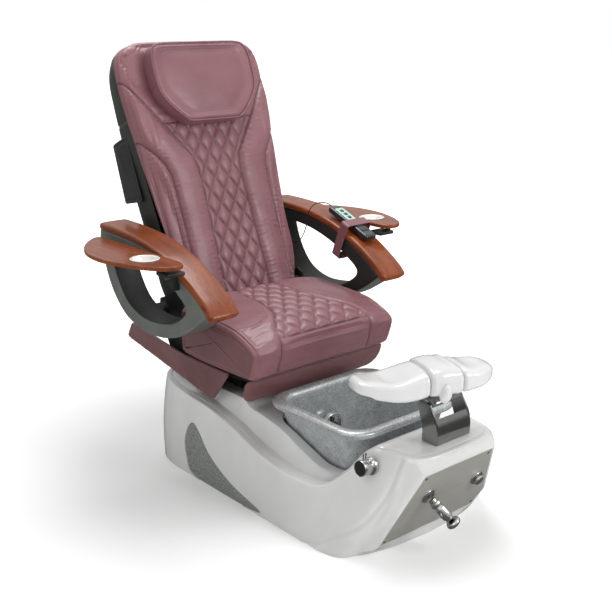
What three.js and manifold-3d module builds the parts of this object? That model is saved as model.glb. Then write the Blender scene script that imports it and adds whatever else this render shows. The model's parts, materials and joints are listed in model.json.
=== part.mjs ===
// Pedicure spa chair: a reclining massage seat on rails over a moulded base with a foot tub.
// Millimetres, +Z up. The sitter faces -Y, the sitter's right is -X and left is +X.
// The chair is laid out from the base's front toe (y = 0) and re-centred on its box at the end.
import * as THREE from "three";
import { mergeVertices } from "three/addons/utils/BufferGeometryUtils.js";
import Module from "manifold-3d";

// ---------------------------------------------------------------- driving dimensions
const GAP = 0.4; // clearance between pieces that touch
const SIDES = [["right", -1], ["left", 1]];

const SHELL_WALL = 14;
const BOX_TOP = 350; // top of the front box, where the footrest stands
const DECK_TOP = 345; // deck under the seat
const TUB = { halfX: 255, front: 36, rear: 506, rimLow: 354, rimHigh: 377, floor: 112, wall: 6, lip: 22 };
const PANEL = { tilt: 23.75, halfTop: 160, halfBottom: 238, high: 282, thick: 3 };
const FOOT = { reachRight: 303, reachLeft: 168, y: -53, turn: 20, pivotX: 18, pivotY: -68, pivotZ: 470 };
const BRACKET = { halfX: 78, front: -126, rear: -60, wall: 5 };

const RAIL = { x: 168, front: 660, rear: 1010, z: 392, height: 15 };
const RUNNER = { front: 590, rear: 990 };
const FRAME_TOP = 448;
const SEAT = { halfX: 322, front: 446, rear: 882, low: 450.5, top: 634, bolster: 648 };
const SKIRT = { halfX: 325, drop: 353, top: 448 };
const BACK = { pivotY: 950, pivotZ: 620, lean: 21, height: 976, front: -66, rear: 41, halfX: 326 };
const ARM = { inner: 343, outer: 450, pivotY: 1035, pivotZ: 585, woodThick: 24, woodOver: 5 };
const TRAY = { low: 847, thick: 15, pivotX: 512, pivotY: 668 };
const TRAY_OUTLINE = [
  [463, 664], [476, 634], [510, 622], [548, 640], [584, 690], [616, 762], [637, 838], [643, 912], [633, 985],
  [608, 1050], [572, 1108], [528, 1156], [490, 1184], [468, 1180], [462, 1140], [462, 1000], [462, 860], [462, 740],
];
const CUP = { x: 531, y: 778, radius: 45, depth: 26 };

const wasm = await Module();
wasm.setup();

// ---------------------------------------------------------------- finishes
const finish = (color, roughness, metalness = 0) =>
  new THREE.MeshStandardMaterial({ color, roughness, metalness });
const GLOSS_WHITE = finish(0xe6e6e4, 0.15);
const STONE = finish(0x858a86, 0.35);
const TUB_SILVER = finish(0x9a9da0, 0.25);
const CHROME = finish(0xb9b9b7, 0.08, 1);
const STEEL = finish(0x96968c, 0.35, 1);
const LEATHER = finish(0x915f67, 0.45);
const WOOD = finish(0x96492a, 0.25);
const ARM_GREY = finish(0x64695f, 0.4);
const BLACK = finish(0x24272a, 0.5);
const RUBBER = finish(0x161616, 0.8);
const CERAMIC = finish(0xf0f0ee, 0.15);
const SCREEN = finish(0xa9cfc2, 0.3);

// ---------------------------------------------------------------- geometry helpers
const radians = THREE.MathUtils.degToRad;

function bare(geometry) {
  geometry.deleteAttribute("normal");
  geometry.deleteAttribute("uv");
  return mergeVertices(geometry, 1e-3);
}

function toSolid(geometry) {
  const g = bare(geometry.clone());
  return new wasm.Manifold(
    new wasm.Mesh({
      numProp: 3,
      vertProperties: new Float32Array(g.attributes.position.array),
      triVerts: new Uint32Array(g.index.array),
    }),
  );
}

function toGeometry(solid) {
  const mesh = solid.getMesh();
  const g = new THREE.BufferGeometry();
  g.setAttribute("position", new THREE.BufferAttribute(mesh.vertProperties, 3));
  g.setIndex(new THREE.BufferAttribute(mesh.triVerts, 1));
  return g;
}

const join = (...parts) => toGeometry(parts.map(toSolid).reduce((a, b) => a.add(b)));
const cut = (from, ...tools) => toGeometry(tools.map(toSolid).reduce((a, b) => a.subtract(b), toSolid(from)));
const common = (a, b) => toGeometry(toSolid(a).intersect(toSolid(b)));

function signedVolume(points, faces) {
  const [a, b, c] = [new THREE.Vector3(), new THREE.Vector3(), new THREE.Vector3()];
  let sum = 0;
  for (let i = 0; i < faces.length; i += 3) {
    a.fromArray(points[faces[i]]);
    b.fromArray(points[faces[i + 1]]);
    c.fromArray(points[faces[i + 2]]);
    sum += a.dot(b.cross(c)) / 6;
  }
  return sum;
}

// A closed solid through rings of points: every ring has the same number, and the ends are fans.
function loft(rings) {
  const n = rings[0].length;
  const points = rings.flat();
  const faces = [];
  for (let r = 0; r + 1 < rings.length; r++)
    for (let i = 0; i < n; i++) {
      const j = (i + 1) % n;
      const [a, b, c, d] = [r * n + i, r * n + j, (r + 1) * n + j, (r + 1) * n + i];
      faces.push(a, b, c, a, c, d);
    }
  const ends = [[0, -1], [(rings.length - 1) * n, 1]];
  for (const [start, turn] of ends) {
    const middle = [0, 1, 2].map((k) => {
      let total = 0;
      for (let i = 0; i < n; i++) total += points[start + i][k];
      return total / n;
    });
    const m = points.push(middle) - 1;
    for (let i = 0; i < n; i++) {
      const j = (i + 1) % n;
      if (turn > 0) faces.push(start + i, start + j, m);
      else faces.push(start + j, start + i, m);
    }
  }
  if (signedVolume(points, faces) < 0)
    for (let i = 0; i < faces.length; i += 3) [faces[i + 1], faces[i + 2]] = [faces[i + 2], faces[i + 1]];
  const g = new THREE.BufferGeometry();
  g.setAttribute("position", new THREE.Float32BufferAttribute(points.flat(), 3));
  g.setIndex(faces);
  return g;
}

// Rounded rectangle as a ring of points in the XY plane at height z.
function roundedRing(cx, cy, halfX, halfY, radius, z, perCorner = 6) {
  const ring = [];
  const corners = [[1, 1, 0], [-1, 1, 90], [-1, -1, 180], [1, -1, 270]];
  for (const [sx, sy, start] of corners)
    for (let i = 0; i <= perCorner; i++) {
      const a = radians(start + (90 * i) / perCorner);
      ring.push([
        cx + sx * (halfX - radius) + radius * Math.cos(a),
        cy + sy * (halfY - radius) + radius * Math.sin(a),
        z,
      ]);
    }
  return ring;
}

function box(x0, x1, y0, y1, z0, z1) {
  const g = new THREE.BoxGeometry(x1 - x0, y1 - y0, z1 - z0);
  return g.translate((x0 + x1) / 2, (y0 + y1) / 2, (z0 + z1) / 2);
}

// Extrudes an outline in the YZ plane along X, from x0 to x1, with an optional hole.
function extrudeX(outline, x0, x1, hole = null) {
  const shape = new THREE.Shape(outline.map(([y, z]) => new THREE.Vector2(y, z)));
  if (hole) shape.holes.push(new THREE.Path(hole.map(([y, z]) => new THREE.Vector2(y, z))));
  const g = new THREE.ExtrudeGeometry(shape, { depth: x1 - x0, bevelEnabled: false });
  g.applyMatrix4(new THREE.Matrix4().set(0, 0, 1, x0, 1, 0, 0, 0, 0, 1, 0, 0, 0, 0, 0, 1));
  return bare(g);
}

// A turned piece: profile of [radius, height] pairs that starts and ends on the axis, axis +Z.
function turned(profile, segments = 20) {
  const g = new THREE.LatheGeometry(profile.map(([r, h]) => new THREE.Vector2(r, h)), segments);
  return bare(g.rotateX(Math.PI / 2));
}

const rod = (radius, length, segments = 16) => turned([[0, 0], [radius, 0], [radius, length], [0, length]], segments);

// Smooth outline through a few points, closed or open.
function smooth(points, count, closed = true) {
  const curve = new THREE.CatmullRomCurve3(points.map(([a, b]) => new THREE.Vector3(a, b, 0)), closed, "centripetal");
  const list = curve.getPoints(count);
  if (closed) list.pop();
  return list.map((p) => [p.x, p.y]);
}

// Moves a closed outline outwards by a distance, along each point's own normal.
function grown(outline, distance) {
  const n = outline.length;
  const area = outline.reduce((sum, [a, b], i) => {
    const [c, d] = outline[(i + 1) % n];
    return sum + a * d - b * c;
  }, 0);
  return outline.map(([a, b], i) => {
    const [before, after] = [outline[(i + n - 1) % n], outline[(i + 1) % n]];
    const [da, db] = [after[0] - before[0], after[1] - before[1]];
    const scale = (Math.sign(area) * distance) / Math.hypot(da, db);
    return [a + db * scale, b - da * scale];
  });
}

function tube(points, radius, steps, sides = 10) {
  const path = new THREE.CatmullRomCurve3(points.map((p) => new THREE.Vector3(...p)), false, "centripetal");
  const section = new THREE.Shape();
  section.absarc(0, 0, radius, 0, Math.PI * 2);
  return bare(
    new THREE.ExtrudeGeometry(section, { steps, curveSegments: sides / 2, extrudePath: path, bevelEnabled: false }),
  );
}

const chair = new THREE.Group();

function add(name, geometry, material, parent = chair) {
  const mesh = new THREE.Mesh(geometry, material);
  mesh.name = name;
  parent.add(mesh);
  return mesh;
}

// Points a piece that was made along +Z at a given direction, from a given place.
function aim(mesh, place, direction) {
  mesh.position.set(...place);
  mesh.quaternion.setFromUnitVectors(new THREE.Vector3(0, 0, 1), new THREE.Vector3(...direction).normalize());
  return mesh;
}

// ---------------------------------------------------------------- base shell
// Stations from front to rear: bottom y, top y, half width at the floor, half width at the ridge,
// ridge height, height beside the tub, and how far the middle bows forward.
const STATIONS = [
  [-30, -162, 262, 150, 346, BOX_TOP, 22],
  [-14, -154, 312, 172, 347, BOX_TOP, 20],
  [20, -132, 348, 188, 348, BOX_TOP, 12],
  [58, -90, 361, 198, 348, BOX_TOP, 4],
  [98, -30, 362, 206, 347, BOX_TOP, 0],
  [124, 16, 361, 224, 334, 345, 0],
  [152, 64, 360, 264, 262, 285, 0],
  [190, 122, 360, 304, 206, 228, 0],
  [250, 200, 360, 322, 187, 216, 0],
  [330, 300, 359, 330, 190, 250, 0],
  [420, 400, 358, 333, 208, 292, 0],
  [520, 510, 357, 335, 240, DECK_TOP - 30, 0],
  [578, 576, 357, 336, 264, DECK_TOP - 20, 0],
  [606, 604, 356, 336, 274, DECK_TOP, 0],
  [720, 720, 355, 336, 295, DECK_TOP, 0],
  [830, 830, 354, 335, 304, DECK_TOP, 0],
  [950, 945, 348, 329, 318, DECK_TOP, 0],
  [1046, 1036, 314, 298, 328, DECK_TOP, 0],
  [1104, 1088, 232, 222, 332, DECK_TOP, 0],
  [1134, 1116, 104, 98, 334, DECK_TOP - 6, 0],
];

// One cross-section of the base, all round, shrunk by an inset on every face but the bottom.
function baseRing([yLow, yTop, halfLow, halfTop, ridge, inner, bow], inset, yShift, bottom) {
  const half = [];
  const bulge = 9;
  const put = (x, along, z) => {
    const share = x / THREE.MathUtils.lerp(halfLow, halfTop, along);
    half.push([x - inset * Math.min(1, share * 1.4), THREE.MathUtils.lerp(yLow, yTop, along), z, share]);
  };
  for (const x of [0, halfLow * 0.5, halfLow]) put(x, 0, bottom);
  for (const t of [0.3, 0.6, 0.88])
    put(THREE.MathUtils.lerp(halfLow, halfTop, t) + bulge * Math.sin(Math.PI * t), t, t * (ridge - inset));
  put(halfTop, 1, ridge - inset);
  put(halfTop - 16, 1, ridge - inset + 1);
  const beside = Math.min(halfTop - 36, 258);
  put(THREE.MathUtils.lerp(halfTop - 16, beside, 0.5), 1, THREE.MathUtils.lerp(ridge, inner, 0.3) - inset);
  put(beside, 1, inner - inset);
  for (const f of [0.5, 0]) put(beside * f, 1, inner - inset);
  const bowed = (share) => yShift - bow * (1 - Math.min(1, share) ** 4);
  const right = half.map(([x, y, z, share]) => [-x, y + bowed(share), z]);
  const left = half.slice(1, -1).map(([x, y, z, share]) => [x, y + bowed(share), z]);
  return [...right, ...left.reverse()];
}

function baseSolid(inset, bottom = 0) {
  const last = STATIONS.length - 1;
  return loft(
    STATIONS.map((station, i) => {
      const shift = inset * (Math.max(0, 1 - i / 3) - Math.max(0, 1 - (last - i) / 2));
      return baseRing(station, inset, shift, bottom);
    }),
  );
}

// The tub's outer form, grown by a clearance, as rings from its floor to above its rim.
const TUB_Y = (TUB.front + TUB.rear) / 2;
const TUB_HALF_Y = (TUB.rear - TUB.front) / 2;

function tubRing(shrink, z, corner = 70) {
  return roundedRing(0, TUB_Y, TUB.halfX - shrink, TUB_HALF_Y - shrink, corner, z);
}

const tubCavity = loft([
  tubRing(70, TUB.floor - 10, 60),
  tubRing(TUB.lip - 1.5, TUB.rimLow, 70),
  tubRing(TUB.lip - 3, TUB.rimLow + 60, 70),
]);

// Leaf-shaped stone inlay low on each side: rounded peak at the rear, long curved edge to the front.
const INLAY = smooth([[812, 14], [838, 70], [846, 128], [828, 186], [796, 214], [762, 196], [690, 128], [560, 62], [392, 16]], 40);

const inlayCutter = (x0, x1, grow = 0) => extrudeX(grow ? grown(INLAY, grow) : INLAY, x0, x1);

// The plane of the front access panel leans forward over the toe.
const panelUp = new THREE.Vector3(0, -Math.sin(radians(PANEL.tilt)), Math.cos(radians(PANEL.tilt)));
const panelOut = new THREE.Vector3(0, -Math.cos(radians(PANEL.tilt)), -Math.sin(radians(PANEL.tilt)));
const panelFoot = new THREE.Vector3(0, -58, 36);

function onPanel(x, up, out) {
  return panelFoot.clone().addScaledVector(panelUp, up).addScaledVector(panelOut, out).setX(x).toArray();
}

function panelPlate(grow, from, to) {
  const corners = [
    [-PANEL.halfBottom - grow, -grow],
    [PANEL.halfBottom - 34, -grow],
    [PANEL.halfBottom - 4 + grow, 62],
    [PANEL.halfTop + grow, PANEL.high + grow],
    [-PANEL.halfTop - grow, PANEL.high + grow],
  ];
  return loft([from, to].map((out) => corners.map(([x, up]) => onPanel(x, up, out))));
}

function buildBase() {
  const skinDepth = 4;
  const inlayThick = 6;
  let shell = baseSolid(0);
  shell = cut(shell, baseSolid(SHELL_WALL, -40));
  shell = cut(shell, tubCavity);
  for (const [side, s] of SIDES) {
    const [x0, x1] = s < 0 ? [-420, -250] : [250, 420];
    const deep = baseSolid(skinDepth + inlayThick + 1);
    shell = cut(shell, cut(inlayCutter(x0, x1, 1), deep));
    const skin = cut(baseSolid(skinDepth), baseSolid(skinDepth + inlayThick, -40));
    add("side_inlay_" + side, common(skin, inlayCutter(x0, x1)), STONE);
  }
  const pocket = panelPlate(1, -PANEL.thick - GAP, 60);
  shell = cut(shell, pocket);
  add("base_shell", shell, GLOSS_WHITE);
  add("base_pan", loft([0, 8].map((z) => roundedRing(0, 520, 325, 480, 120, z, 5))), BLACK);
}

// ---------------------------------------------------------------- tub, jet and drain
const JET = { y: 462, z: 228, radius: 46 };

function buildTub() {
  const { rimLow, rimHigh, lip, floor, wall } = TUB;
  const roll = (rimHigh - rimLow) / 2;
  const basin = loft([
    tubRing(74, floor, 56),
    tubRing(lip + 4, rimLow - 6, 68),
    tubRing(4, rimLow, 84),
    tubRing(0, rimLow + roll, 88),
    tubRing(5, rimHigh, 84),
    tubRing(lip + 2, rimHigh - 3, 68),
    tubRing(lip + 10, rimLow, 62),
    tubRing(74 + wall, floor + wall, 50),
  ]);
  const jetHole = rod(JET.radius - 12, 90, 20).rotateX(Math.PI / 2).translate(0, JET.y + 60, JET.z);
  const drainHole = rod(18, 60, 16).translate(-60, 190, floor - 20);
  add("tub_basin", cut(basin, jetHole, drainHole), TUB_SILVER);

  const strainer = turned([[0, 0], [26, 0], [26, 3], [10, 4.5], [0, 4.5]], 20);
  add("tub_drain_strainer", strainer, CHROME).position.set(-60, 190, floor + wall + GAP);
  const pipe = tube([[-60, 190, floor + wall], [-60, 190, 60], [-60, 204, 40], [-60, 244, 32], [-60, 600, 32], [-60, 960, 32]], 15, 30, 10);
  add("drain_pipe", pipe, BLACK);

  const jet = new THREE.Group();
  jet.position.set(0, JET.y - 24, JET.z);
  jet.rotation.x = Math.PI / 2;
  chair.add(jet);
  const r = JET.radius;
  const cup = turned([[0, -2], [r - 13, -2], [r - 13, 4], [r, 4], [r, 20], [r - 5, 22], [r - 9, 20], [r - 9, 8], [0, 8]], 24);
  add("jet_housing", cup, CHROME, jet);
  const blades = [rod(8, 9, 12)];
  for (let i = 0; i < 5; i++)
    blades.push(new THREE.BoxGeometry(22, 3, 7).translate(17, 0, 4.5).rotateZ((i * Math.PI * 2) / 5));
  add("jet_impeller", join(...blades), BLACK, jet).position.z = 8 + GAP + 0.6;
  add("jet_motor", turned([[0, 0], [30, 0], [34, 5], [34, 52], [26, 60], [0, 60]], 20), BLACK, jet).position.z = -62.5;
}

// ---------------------------------------------------------------- front panel, sprayer and knobs
const SPRAY = { x: -93, up: 168, direction: [0.38, -0.62, -0.69] };

function buildPanel() {
  add("front_access_panel", panelPlate(0, -PANEL.thick, -GAP), STEEL);
  const out = panelOut.toArray();
  const flange = turned([[0, 0], [27, 0], [27, 3], [21, 7], [16, 7], [16, 5], [0, 5]], 24);
  aim(add("sprayer_flange", flange, CHROME), onPanel(SPRAY.x, SPRAY.up, 0), out);
  const start = new THREE.Vector3(...onPanel(SPRAY.x, SPRAY.up, 17));
  const head = new THREE.Group();
  aim(head, start.toArray(), SPRAY.direction);
  chair.add(head);
  const handle = [[0, 0], [11, 1], [12, 10], [16, 13], [16, 24], [12, 27], [15, 36], [15, 74], [12, 84], [0, 84]];
  add("sprayer_handle", turned(handle, 20), CHROME, head);
  const rose = turned([[0, 0], [17, 1], [20, 6], [20, 14], [15, 18], [0, 18]], 20);
  aim(add("sprayer_rose", rose, CHROME, head), [0, 0, 89.5], [0.3, 0, 1]);

  aim(add("drain_knob_bezel", turned([[0, 0], [27, 0], [27, 3], [23, 5], [0, 5]], 24), CHROME), onPanel(152, 148, 0), out);
  const dial = join(turned([[0, 0], [17, 0], [19, 4], [17, 13], [0, 15]], 20), box(-3, 3, -15, 15, 10, 18));
  aim(add("drain_knob", dial, CHROME), onPanel(152, 148, 5 + GAP), out);
}

const VALVE = [-246, -14, 300]; // where the valve meets the shell

// The mixing valve on the sitter's right side of the front box.
function buildSideValve() {
  const valve = new THREE.Group();
  aim(valve, VALVE, [-1, 0, 0.12]);
  chair.add(valve);
  add("side_valve_body", turned([[0, -4], [27, -4], [27, 3], [21, 6], [21, 22], [0, 22]], 20), CHROME, valve);
  const drum = turned([[0, 0], [24, 0], [25, 3], [25, 30], [23, 33], [0, 33]], 24);
  const lever = turned([[0, 0], [3.5, 0], [3.5, 22], [5, 25], [3.5, 30], [0, 30]], 12);
  lever.rotateY(Math.PI / 2).translate(20, 0, 15);
  add("side_valve_knob", join(drum, lever), CHROME, valve).position.z = 22 + GAP;
}

// ---------------------------------------------------------------- footrest on its bracket
function buildFootrest() {
  const { halfX, front, rear, wall } = BRACKET;
  const low = BOX_TOP + GAP + 1;
  const plateSide = [
    [front + 6, low], [front, low + 30], [front + 3, 418], [front + 16, 446], [front + 40, 474],
    [front + 70, 484], [front + 84, 472], [front + 76, 430], [rear, 400], [rear, low],
  ];
  const frontPlate = [
    [front, low], [front - 1, low + 40], [front + 3, 414], [front + 13, 434],
    [front + 17.5, 431], [front + 8, 411], [front + 4, low + 40], [front + 5, low],
  ];
  const parts = [
    extrudeX(frontPlate, -halfX, halfX),
    extrudeX(plateSide, -halfX, -halfX + wall),
    extrudeX(plateSide, halfX - wall, halfX),
    box(-halfX, halfX, front + 1, rear, low, low + 4),
  ];
  add("footrest_bracket", join(...parts), CHROME).position.x = FOOT.pivotX;

  const pin = rod(6, 2 * (halfX - wall) - 2, 14).rotateY(Math.PI / 2).translate(-(halfX - wall) + 1, 0, 0);
  const carrier = new THREE.Group();
  carrier.position.set(FOOT.pivotX, FOOT.pivotY, FOOT.pivotZ);
  chair.add(carrier);
  const arc = [];
  for (let i = 0; i <= 10; i++) arc.push([Math.cos(radians(20 + 14 * i)) * 32, Math.sin(radians(20 + 14 * i)) * 32 - 9]);
  const inside = arc.map(([y, z]) => [y * 0.88, z - 4]).reverse();
  const saddle = extrudeX([...arc, ...inside], -halfX + wall + 1.5, halfX - wall - 1.5);
  const web = box(-20, 20, -9, 9, -2, 27);
  add("footrest_carrier", join(pin, saddle, web), CHROME, carrier);

  const rest = new THREE.Group();
  rest.position.set(FOOT.pivotX, FOOT.pivotY, FOOT.pivotZ);
  rest.rotation.z = -radians(FOOT.turn);
  chair.add(rest);
  const shift = FOOT.y - FOOT.pivotY;
  // Saddles: rings along X, crowned, dipped in the middle and raised at the outer end.
  const ring = (x, half, low2, top) => {
    const points = [];
    for (let i = 0; i < 16; i++) {
      const a = (i * Math.PI * 2) / 16;
      const up = Math.sin(a);
      points.push([x, shift + half * Math.sign(Math.cos(a)) * Math.abs(Math.cos(a)) ** 0.6, low2 + (top - low2) * (0.5 + 0.5 * Math.sign(up) * Math.abs(up) ** 0.55)]);
    }
    return points;
  };
  const pads = {
    right: [
      [-76, 88, 34, 120], [-112, 90, 33, 114], [-150, 88, 35, 106], [-200, 82, 42, 100],
      [-245, 70, 50, 102], [-283, 54, 60, 104], [-FOOT.reachRight, 34, 70, 98],
    ],
    left: [[41, 90, 34, 118], [75, 88, 36, 114], [110, 82, 40, 112], [142, 68, 48, 110], [FOOT.reachLeft, 48, 60, 104]],
  };
  for (const [side] of SIDES)
    add("footrest_pad_" + side, loft(pads[side].map((row) => ring(...row))), GLOSS_WHITE, rest);
  const hump = [[-73, 92, 36, 122], [-52, 96, 32, 128], [4, 96, 32, 128], [38, 92, 36, 120]];
  const tongue = new THREE.SphereGeometry(1, 16, 10).scale(20, 20, 32).translate(-28, shift - 92, 52);
  add("footrest_bridge", join(loft(hump.map(([x, h, a, b]) => ring(x, h, a, b))), tongue), GLOSS_WHITE, rest);
}

// ---------------------------------------------------------------- rails, seat carriage and cushions
function buildSeat() {
  const low = DECK_TOP + 1;
  add("seat_pedestal", box(-205, 205, 690, 985, low, RAIL.z - GAP), BLACK);
  const rails = [];
  for (const [side, s] of SIDES) {
    const x = s * RAIL.x;
    add("lower_rail_" + side, box(x - 14, x + 14, RAIL.front, RAIL.rear, RAIL.z, RAIL.z + RAIL.height), STEEL);
    rails.push(cut(
      box(x - 20, x + 20, RUNNER.front, RUNNER.rear, RAIL.z + 3, RAIL.z + RAIL.height + 6),
      box(x - 15, x + 15, RUNNER.front - 30, RUNNER.rear + 30, RAIL.z - 5, RAIL.z + RAIL.height + 1),
    ));
  }
  const frameLow = RAIL.z + RAIL.height + 6 - 1;
  const bars = [box(-262, 262, 520, 560, frameLow, FRAME_TOP), box(-262, 262, 900, 960, frameLow, FRAME_TOP)];
  for (const [, s] of SIDES) {
    const [x0, x1] = s < 0 ? [-262, -140] : [140, 262];
    bars.push(box(x0, x1, 520, 960, frameLow, FRAME_TOP));
    const cheek = [[896, frameLow], [896, 470], [922, 650], [950, 664], [985, 650], [1070, 620], [1080, 560], [1000, frameLow]];
    const [c0, c1] = s < 0 ? [-292, -284] : [284, 292];
    bars.push(extrudeX(cheek, c0, c1));
    bars.push(box(Math.min(s * 250, s * 290), Math.max(s * 250, s * 290), 898, 955, frameLow, FRAME_TOP));
    const hub = rod(27, ARM.inner - 288 - GAP, 20).rotateY((s * Math.PI) / 2);
    bars.push(hub.translate(s * 288, ARM.pivotY, ARM.pivotZ));
    const pin = rod(12, 12, 16).rotateY((s * Math.PI) / 2);
    bars.push(pin.translate(s * (274 + GAP), BACK.pivotY, BACK.pivotZ));
  }
  add("seat_frame", join(...bars, ...rails), BLACK);

  const drive = join(rod(18, 70, 16).rotateY(Math.PI / 2).translate(-35, 720, 412), box(-26, 26, 700, 880, RAIL.z, 434));
  add("seat_slide_motor", drive, BLACK);

  // Seat cushion: rings along Y with raised side bolsters and a rolled front edge.
  const ring = (y, half, lowZ, topZ, bolster) => [
    [-half + 22, y, lowZ], [-half, y, lowZ + 24], [-half - 2, y, (lowZ + bolster) / 2 + 10], [-half + 6, y, bolster - 18],
    [-half + 34, y, bolster], [-half + 76, y, (topZ + bolster) / 2], [-half + 110, y, topZ], [0, y, topZ + 3],
    [half - 110, y, topZ], [half - 76, y, (topZ + bolster) / 2], [half - 34, y, bolster], [half - 6, y, bolster - 18],
    [half + 2, y, (lowZ + bolster) / 2 + 10], [half, y, lowZ + 24], [half - 22, y, lowZ],
  ];
  const { halfX, front, rear, low: under, top, bolster } = SEAT;
  const rows = [
    [front, halfX - 24, 514, 574, 580],
    [front + 11, halfX - 6, 484, 594, 604],
    [front + 40, halfX, under + 2, 606, 620],
    [front + 114, halfX, under, top, bolster - 9],
    [700, halfX - 2, under, top + 4, bolster],
    [812, halfX - 8, under, top + 12, bolster],
    [rear - 16, halfX - 18, under + 4, top + 4, bolster - 16],
    [rear, halfX - 50, under + 20, top - 20, bolster - 54],
  ];
  add("seat_cushion", loft(rows.map((row) => ring(...row))), LEATHER);

  // Front skirt: hangs from the frame's front bar, its lower corners rounded.
  const { halfX: wide, drop, top: hung } = SKIRT;
  const skirt = [
    [500, hung], [519.5, hung], [519.5, 440], [510, 432], [519, 408], [530, 382], [549, drop - 2],
    [541, drop - 5], [521, 380], [508, 410], [500, 436],
  ];
  const corners = [
    [-wide, hung + 2], [-wide, drop + 36], [-wide + 12, drop + 12], [-wide + 36, drop - 6],
    [wide - 36, drop - 6], [wide - 12, drop + 12], [wide, drop + 36], [wide, hung + 2],
  ];
  const blank = loft([440, 600].map((y) => corners.map(([x, z]) => [x, y, z])));
  add("front_skirt", common(extrudeX(skirt, -wide, wide), blank), LEATHER);
  const flap = [[612, 446], [712, 322], [1275, 424], [1240, 488], [915, 446]];
  for (const [side, s] of SIDES) {
    const [x0, x1] = s < 0 ? [-322, -306] : [306, 322];
    const hanger = [box(Math.min(s * 262.6, s * 308), Math.max(s * 262.6, s * 308), 700, 740, 424, 440)];
    add("side_skirt_" + side, join(extrudeX(flap, x0, x1), ...hanger), LEATHER);
  }
}

// ---------------------------------------------------------------- reclining back
function buildBack() {
  const back = new THREE.Group();
  back.position.set(0, BACK.pivotY, BACK.pivotZ);
  back.rotation.x = -radians(BACK.lean);
  chair.add(back);
  const { front, rear, height, halfX } = BACK;

  // Cushion rings along the back's own Z: wide at the shoulders, bolsters proud of the middle.
  const ring = (z, half, face, bolster) => [
    [-half + 12, rear, z], [-half - 2, rear - 22, z], [-half, (rear + bolster) / 2 - 8, z], [-half + 12, bolster + 10, z],
    [-half + 42, bolster, z], [-half + 96, (face + bolster) / 2, z], [-half + 140, face, z], [0, face - 3, z],
    [half - 140, face, z], [half - 96, (face + bolster) / 2, z], [half - 42, bolster, z], [half - 12, bolster + 10, z],
    [half, (rear + bolster) / 2 - 8, z], [half + 2, rear - 22, z], [half - 12, rear, z],
  ];
  const rows = [
    [-40, 226, front + 44, front + 44], [-28, 244, front + 26, front + 22], [12, 258, front + 10, front + 2],
    [22, 266, front + 8, front - 2], [90, 286, front + 2, front - 10], [260, 294, front, front - 20],
    [430, 300, front, front - 22], [600, 312, front, front - 20], [770, halfX, front, front - 12],
    [884, halfX - 2, front + 2, front - 4], [height - 34, halfX - 24, front + 12, front + 12],
    [height - 8, halfX - 66, front + 36, front + 36], [height, halfX - 96, front + 60, front + 60],
  ];
  add("back_cushion", loft(rows.map((row) => ring(...row))), LEATHER, back);

  const shellFront = rear + 1;
  const shellRing = (z, half, depth) =>
    roundedRing(0, shellFront + depth / 2, half, depth / 2, 24, z, 4);
  const shellRows = [
    [-34, 240, 76], [20, 268, 96], [200, 282, 104], [440, 298, 98], [650, 302, 90],
    [780, 304, 82], [900, 294, 68], [height - 20, 246, 52],
  ];
  const cavity = box(-170, 170, shellFront - 2, shellFront + 68, 130, 800);
  const bearing = shellFront + 30;
  const ear = [[-14, -26], [14, -26], [64, 0], [110, 44], [110, 96], [44, 96], [44, 14], [-14, 12]];
  const fixed = [];
  for (const [, s] of SIDES) {
    fixed.push(extrudeX(ear, s * 270 - 4, s * 270 + 4));
    fixed.push(rod(6, 690, 12).translate(s * 120, bearing + 14, 120));
  }
  const shell = cut(loft(shellRows.map(([z, h, d]) => shellRing(z, h, d))), cavity);
  add("back_shell", join(shell, ...fixed), BLACK, back);
  const plate = box(-100, 100, bearing + 14, bearing + 30, 270, 370);
  const yoke = box(-16, 16, bearing - 14, bearing + 16, 300, 340);
  const trolley = join(plate, yoke);
  add("massage_trolley", trolley, BLACK, back);
  for (const [side, s] of SIDES) {
    const wheel = turned([[0, -14], [15, -14], [19, -6], [19, 6], [15, 14], [0, 14]], 18).rotateY(Math.PI / 2);
    add("massage_roller_" + side, wheel, RUBBER, back).position.set(s * 52, bearing - 8, 320);
  }

  // Headrest pillow: wide at the top, narrower below, standing proud of the cushion.
  const pillowFront = front - 52;
  const pillowRing = (z, half, face) => roundedRing(0, (face + front - 6) / 2, half, (front - 6 - face) / 2, 17, z, 4);
  const pillow = [
    [648, 118, pillowFront + 16], [662, 140, pillowFront + 5], [720, 192, pillowFront], [780, 224, pillowFront],
    [860, 228, pillowFront], [914, 220, pillowFront + 5], [940, 204, pillowFront + 12], [950, 188, pillowFront + 20],
  ];
  add("headrest_pillow", loft(pillow.map(([z, h, f]) => pillowRing(z, h, f))), LEATHER, back);
  const pocket = extrudeX([[rear + 6, 398], [rear + 132, 418], [rear + 122, 650], [rear + 10, 654]], -314, -304.5);
  add("side_pocket", pocket, BLACK, back);
}

// ---------------------------------------------------------------- arms, trays and remote
const TOP_LINE = [[548, 694], [612, 742], [700, 794], [810, 838], [950, 868], [1100, 880], [1214, 882]];
const RING_LOWER = [[1218, 842], [1196, 760], [1146, 662], [1064, 586], [950, 552], [840, 552], [728, 580], [628, 636]];
const HOLE = [[668, 690], [740, 630], [846, 604], [952, 604], [1044, 640], [1104, 710], [1138, 790], [1144, 832], [1080, 834], [950, 822], [822, 786], [724, 738]];

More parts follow.
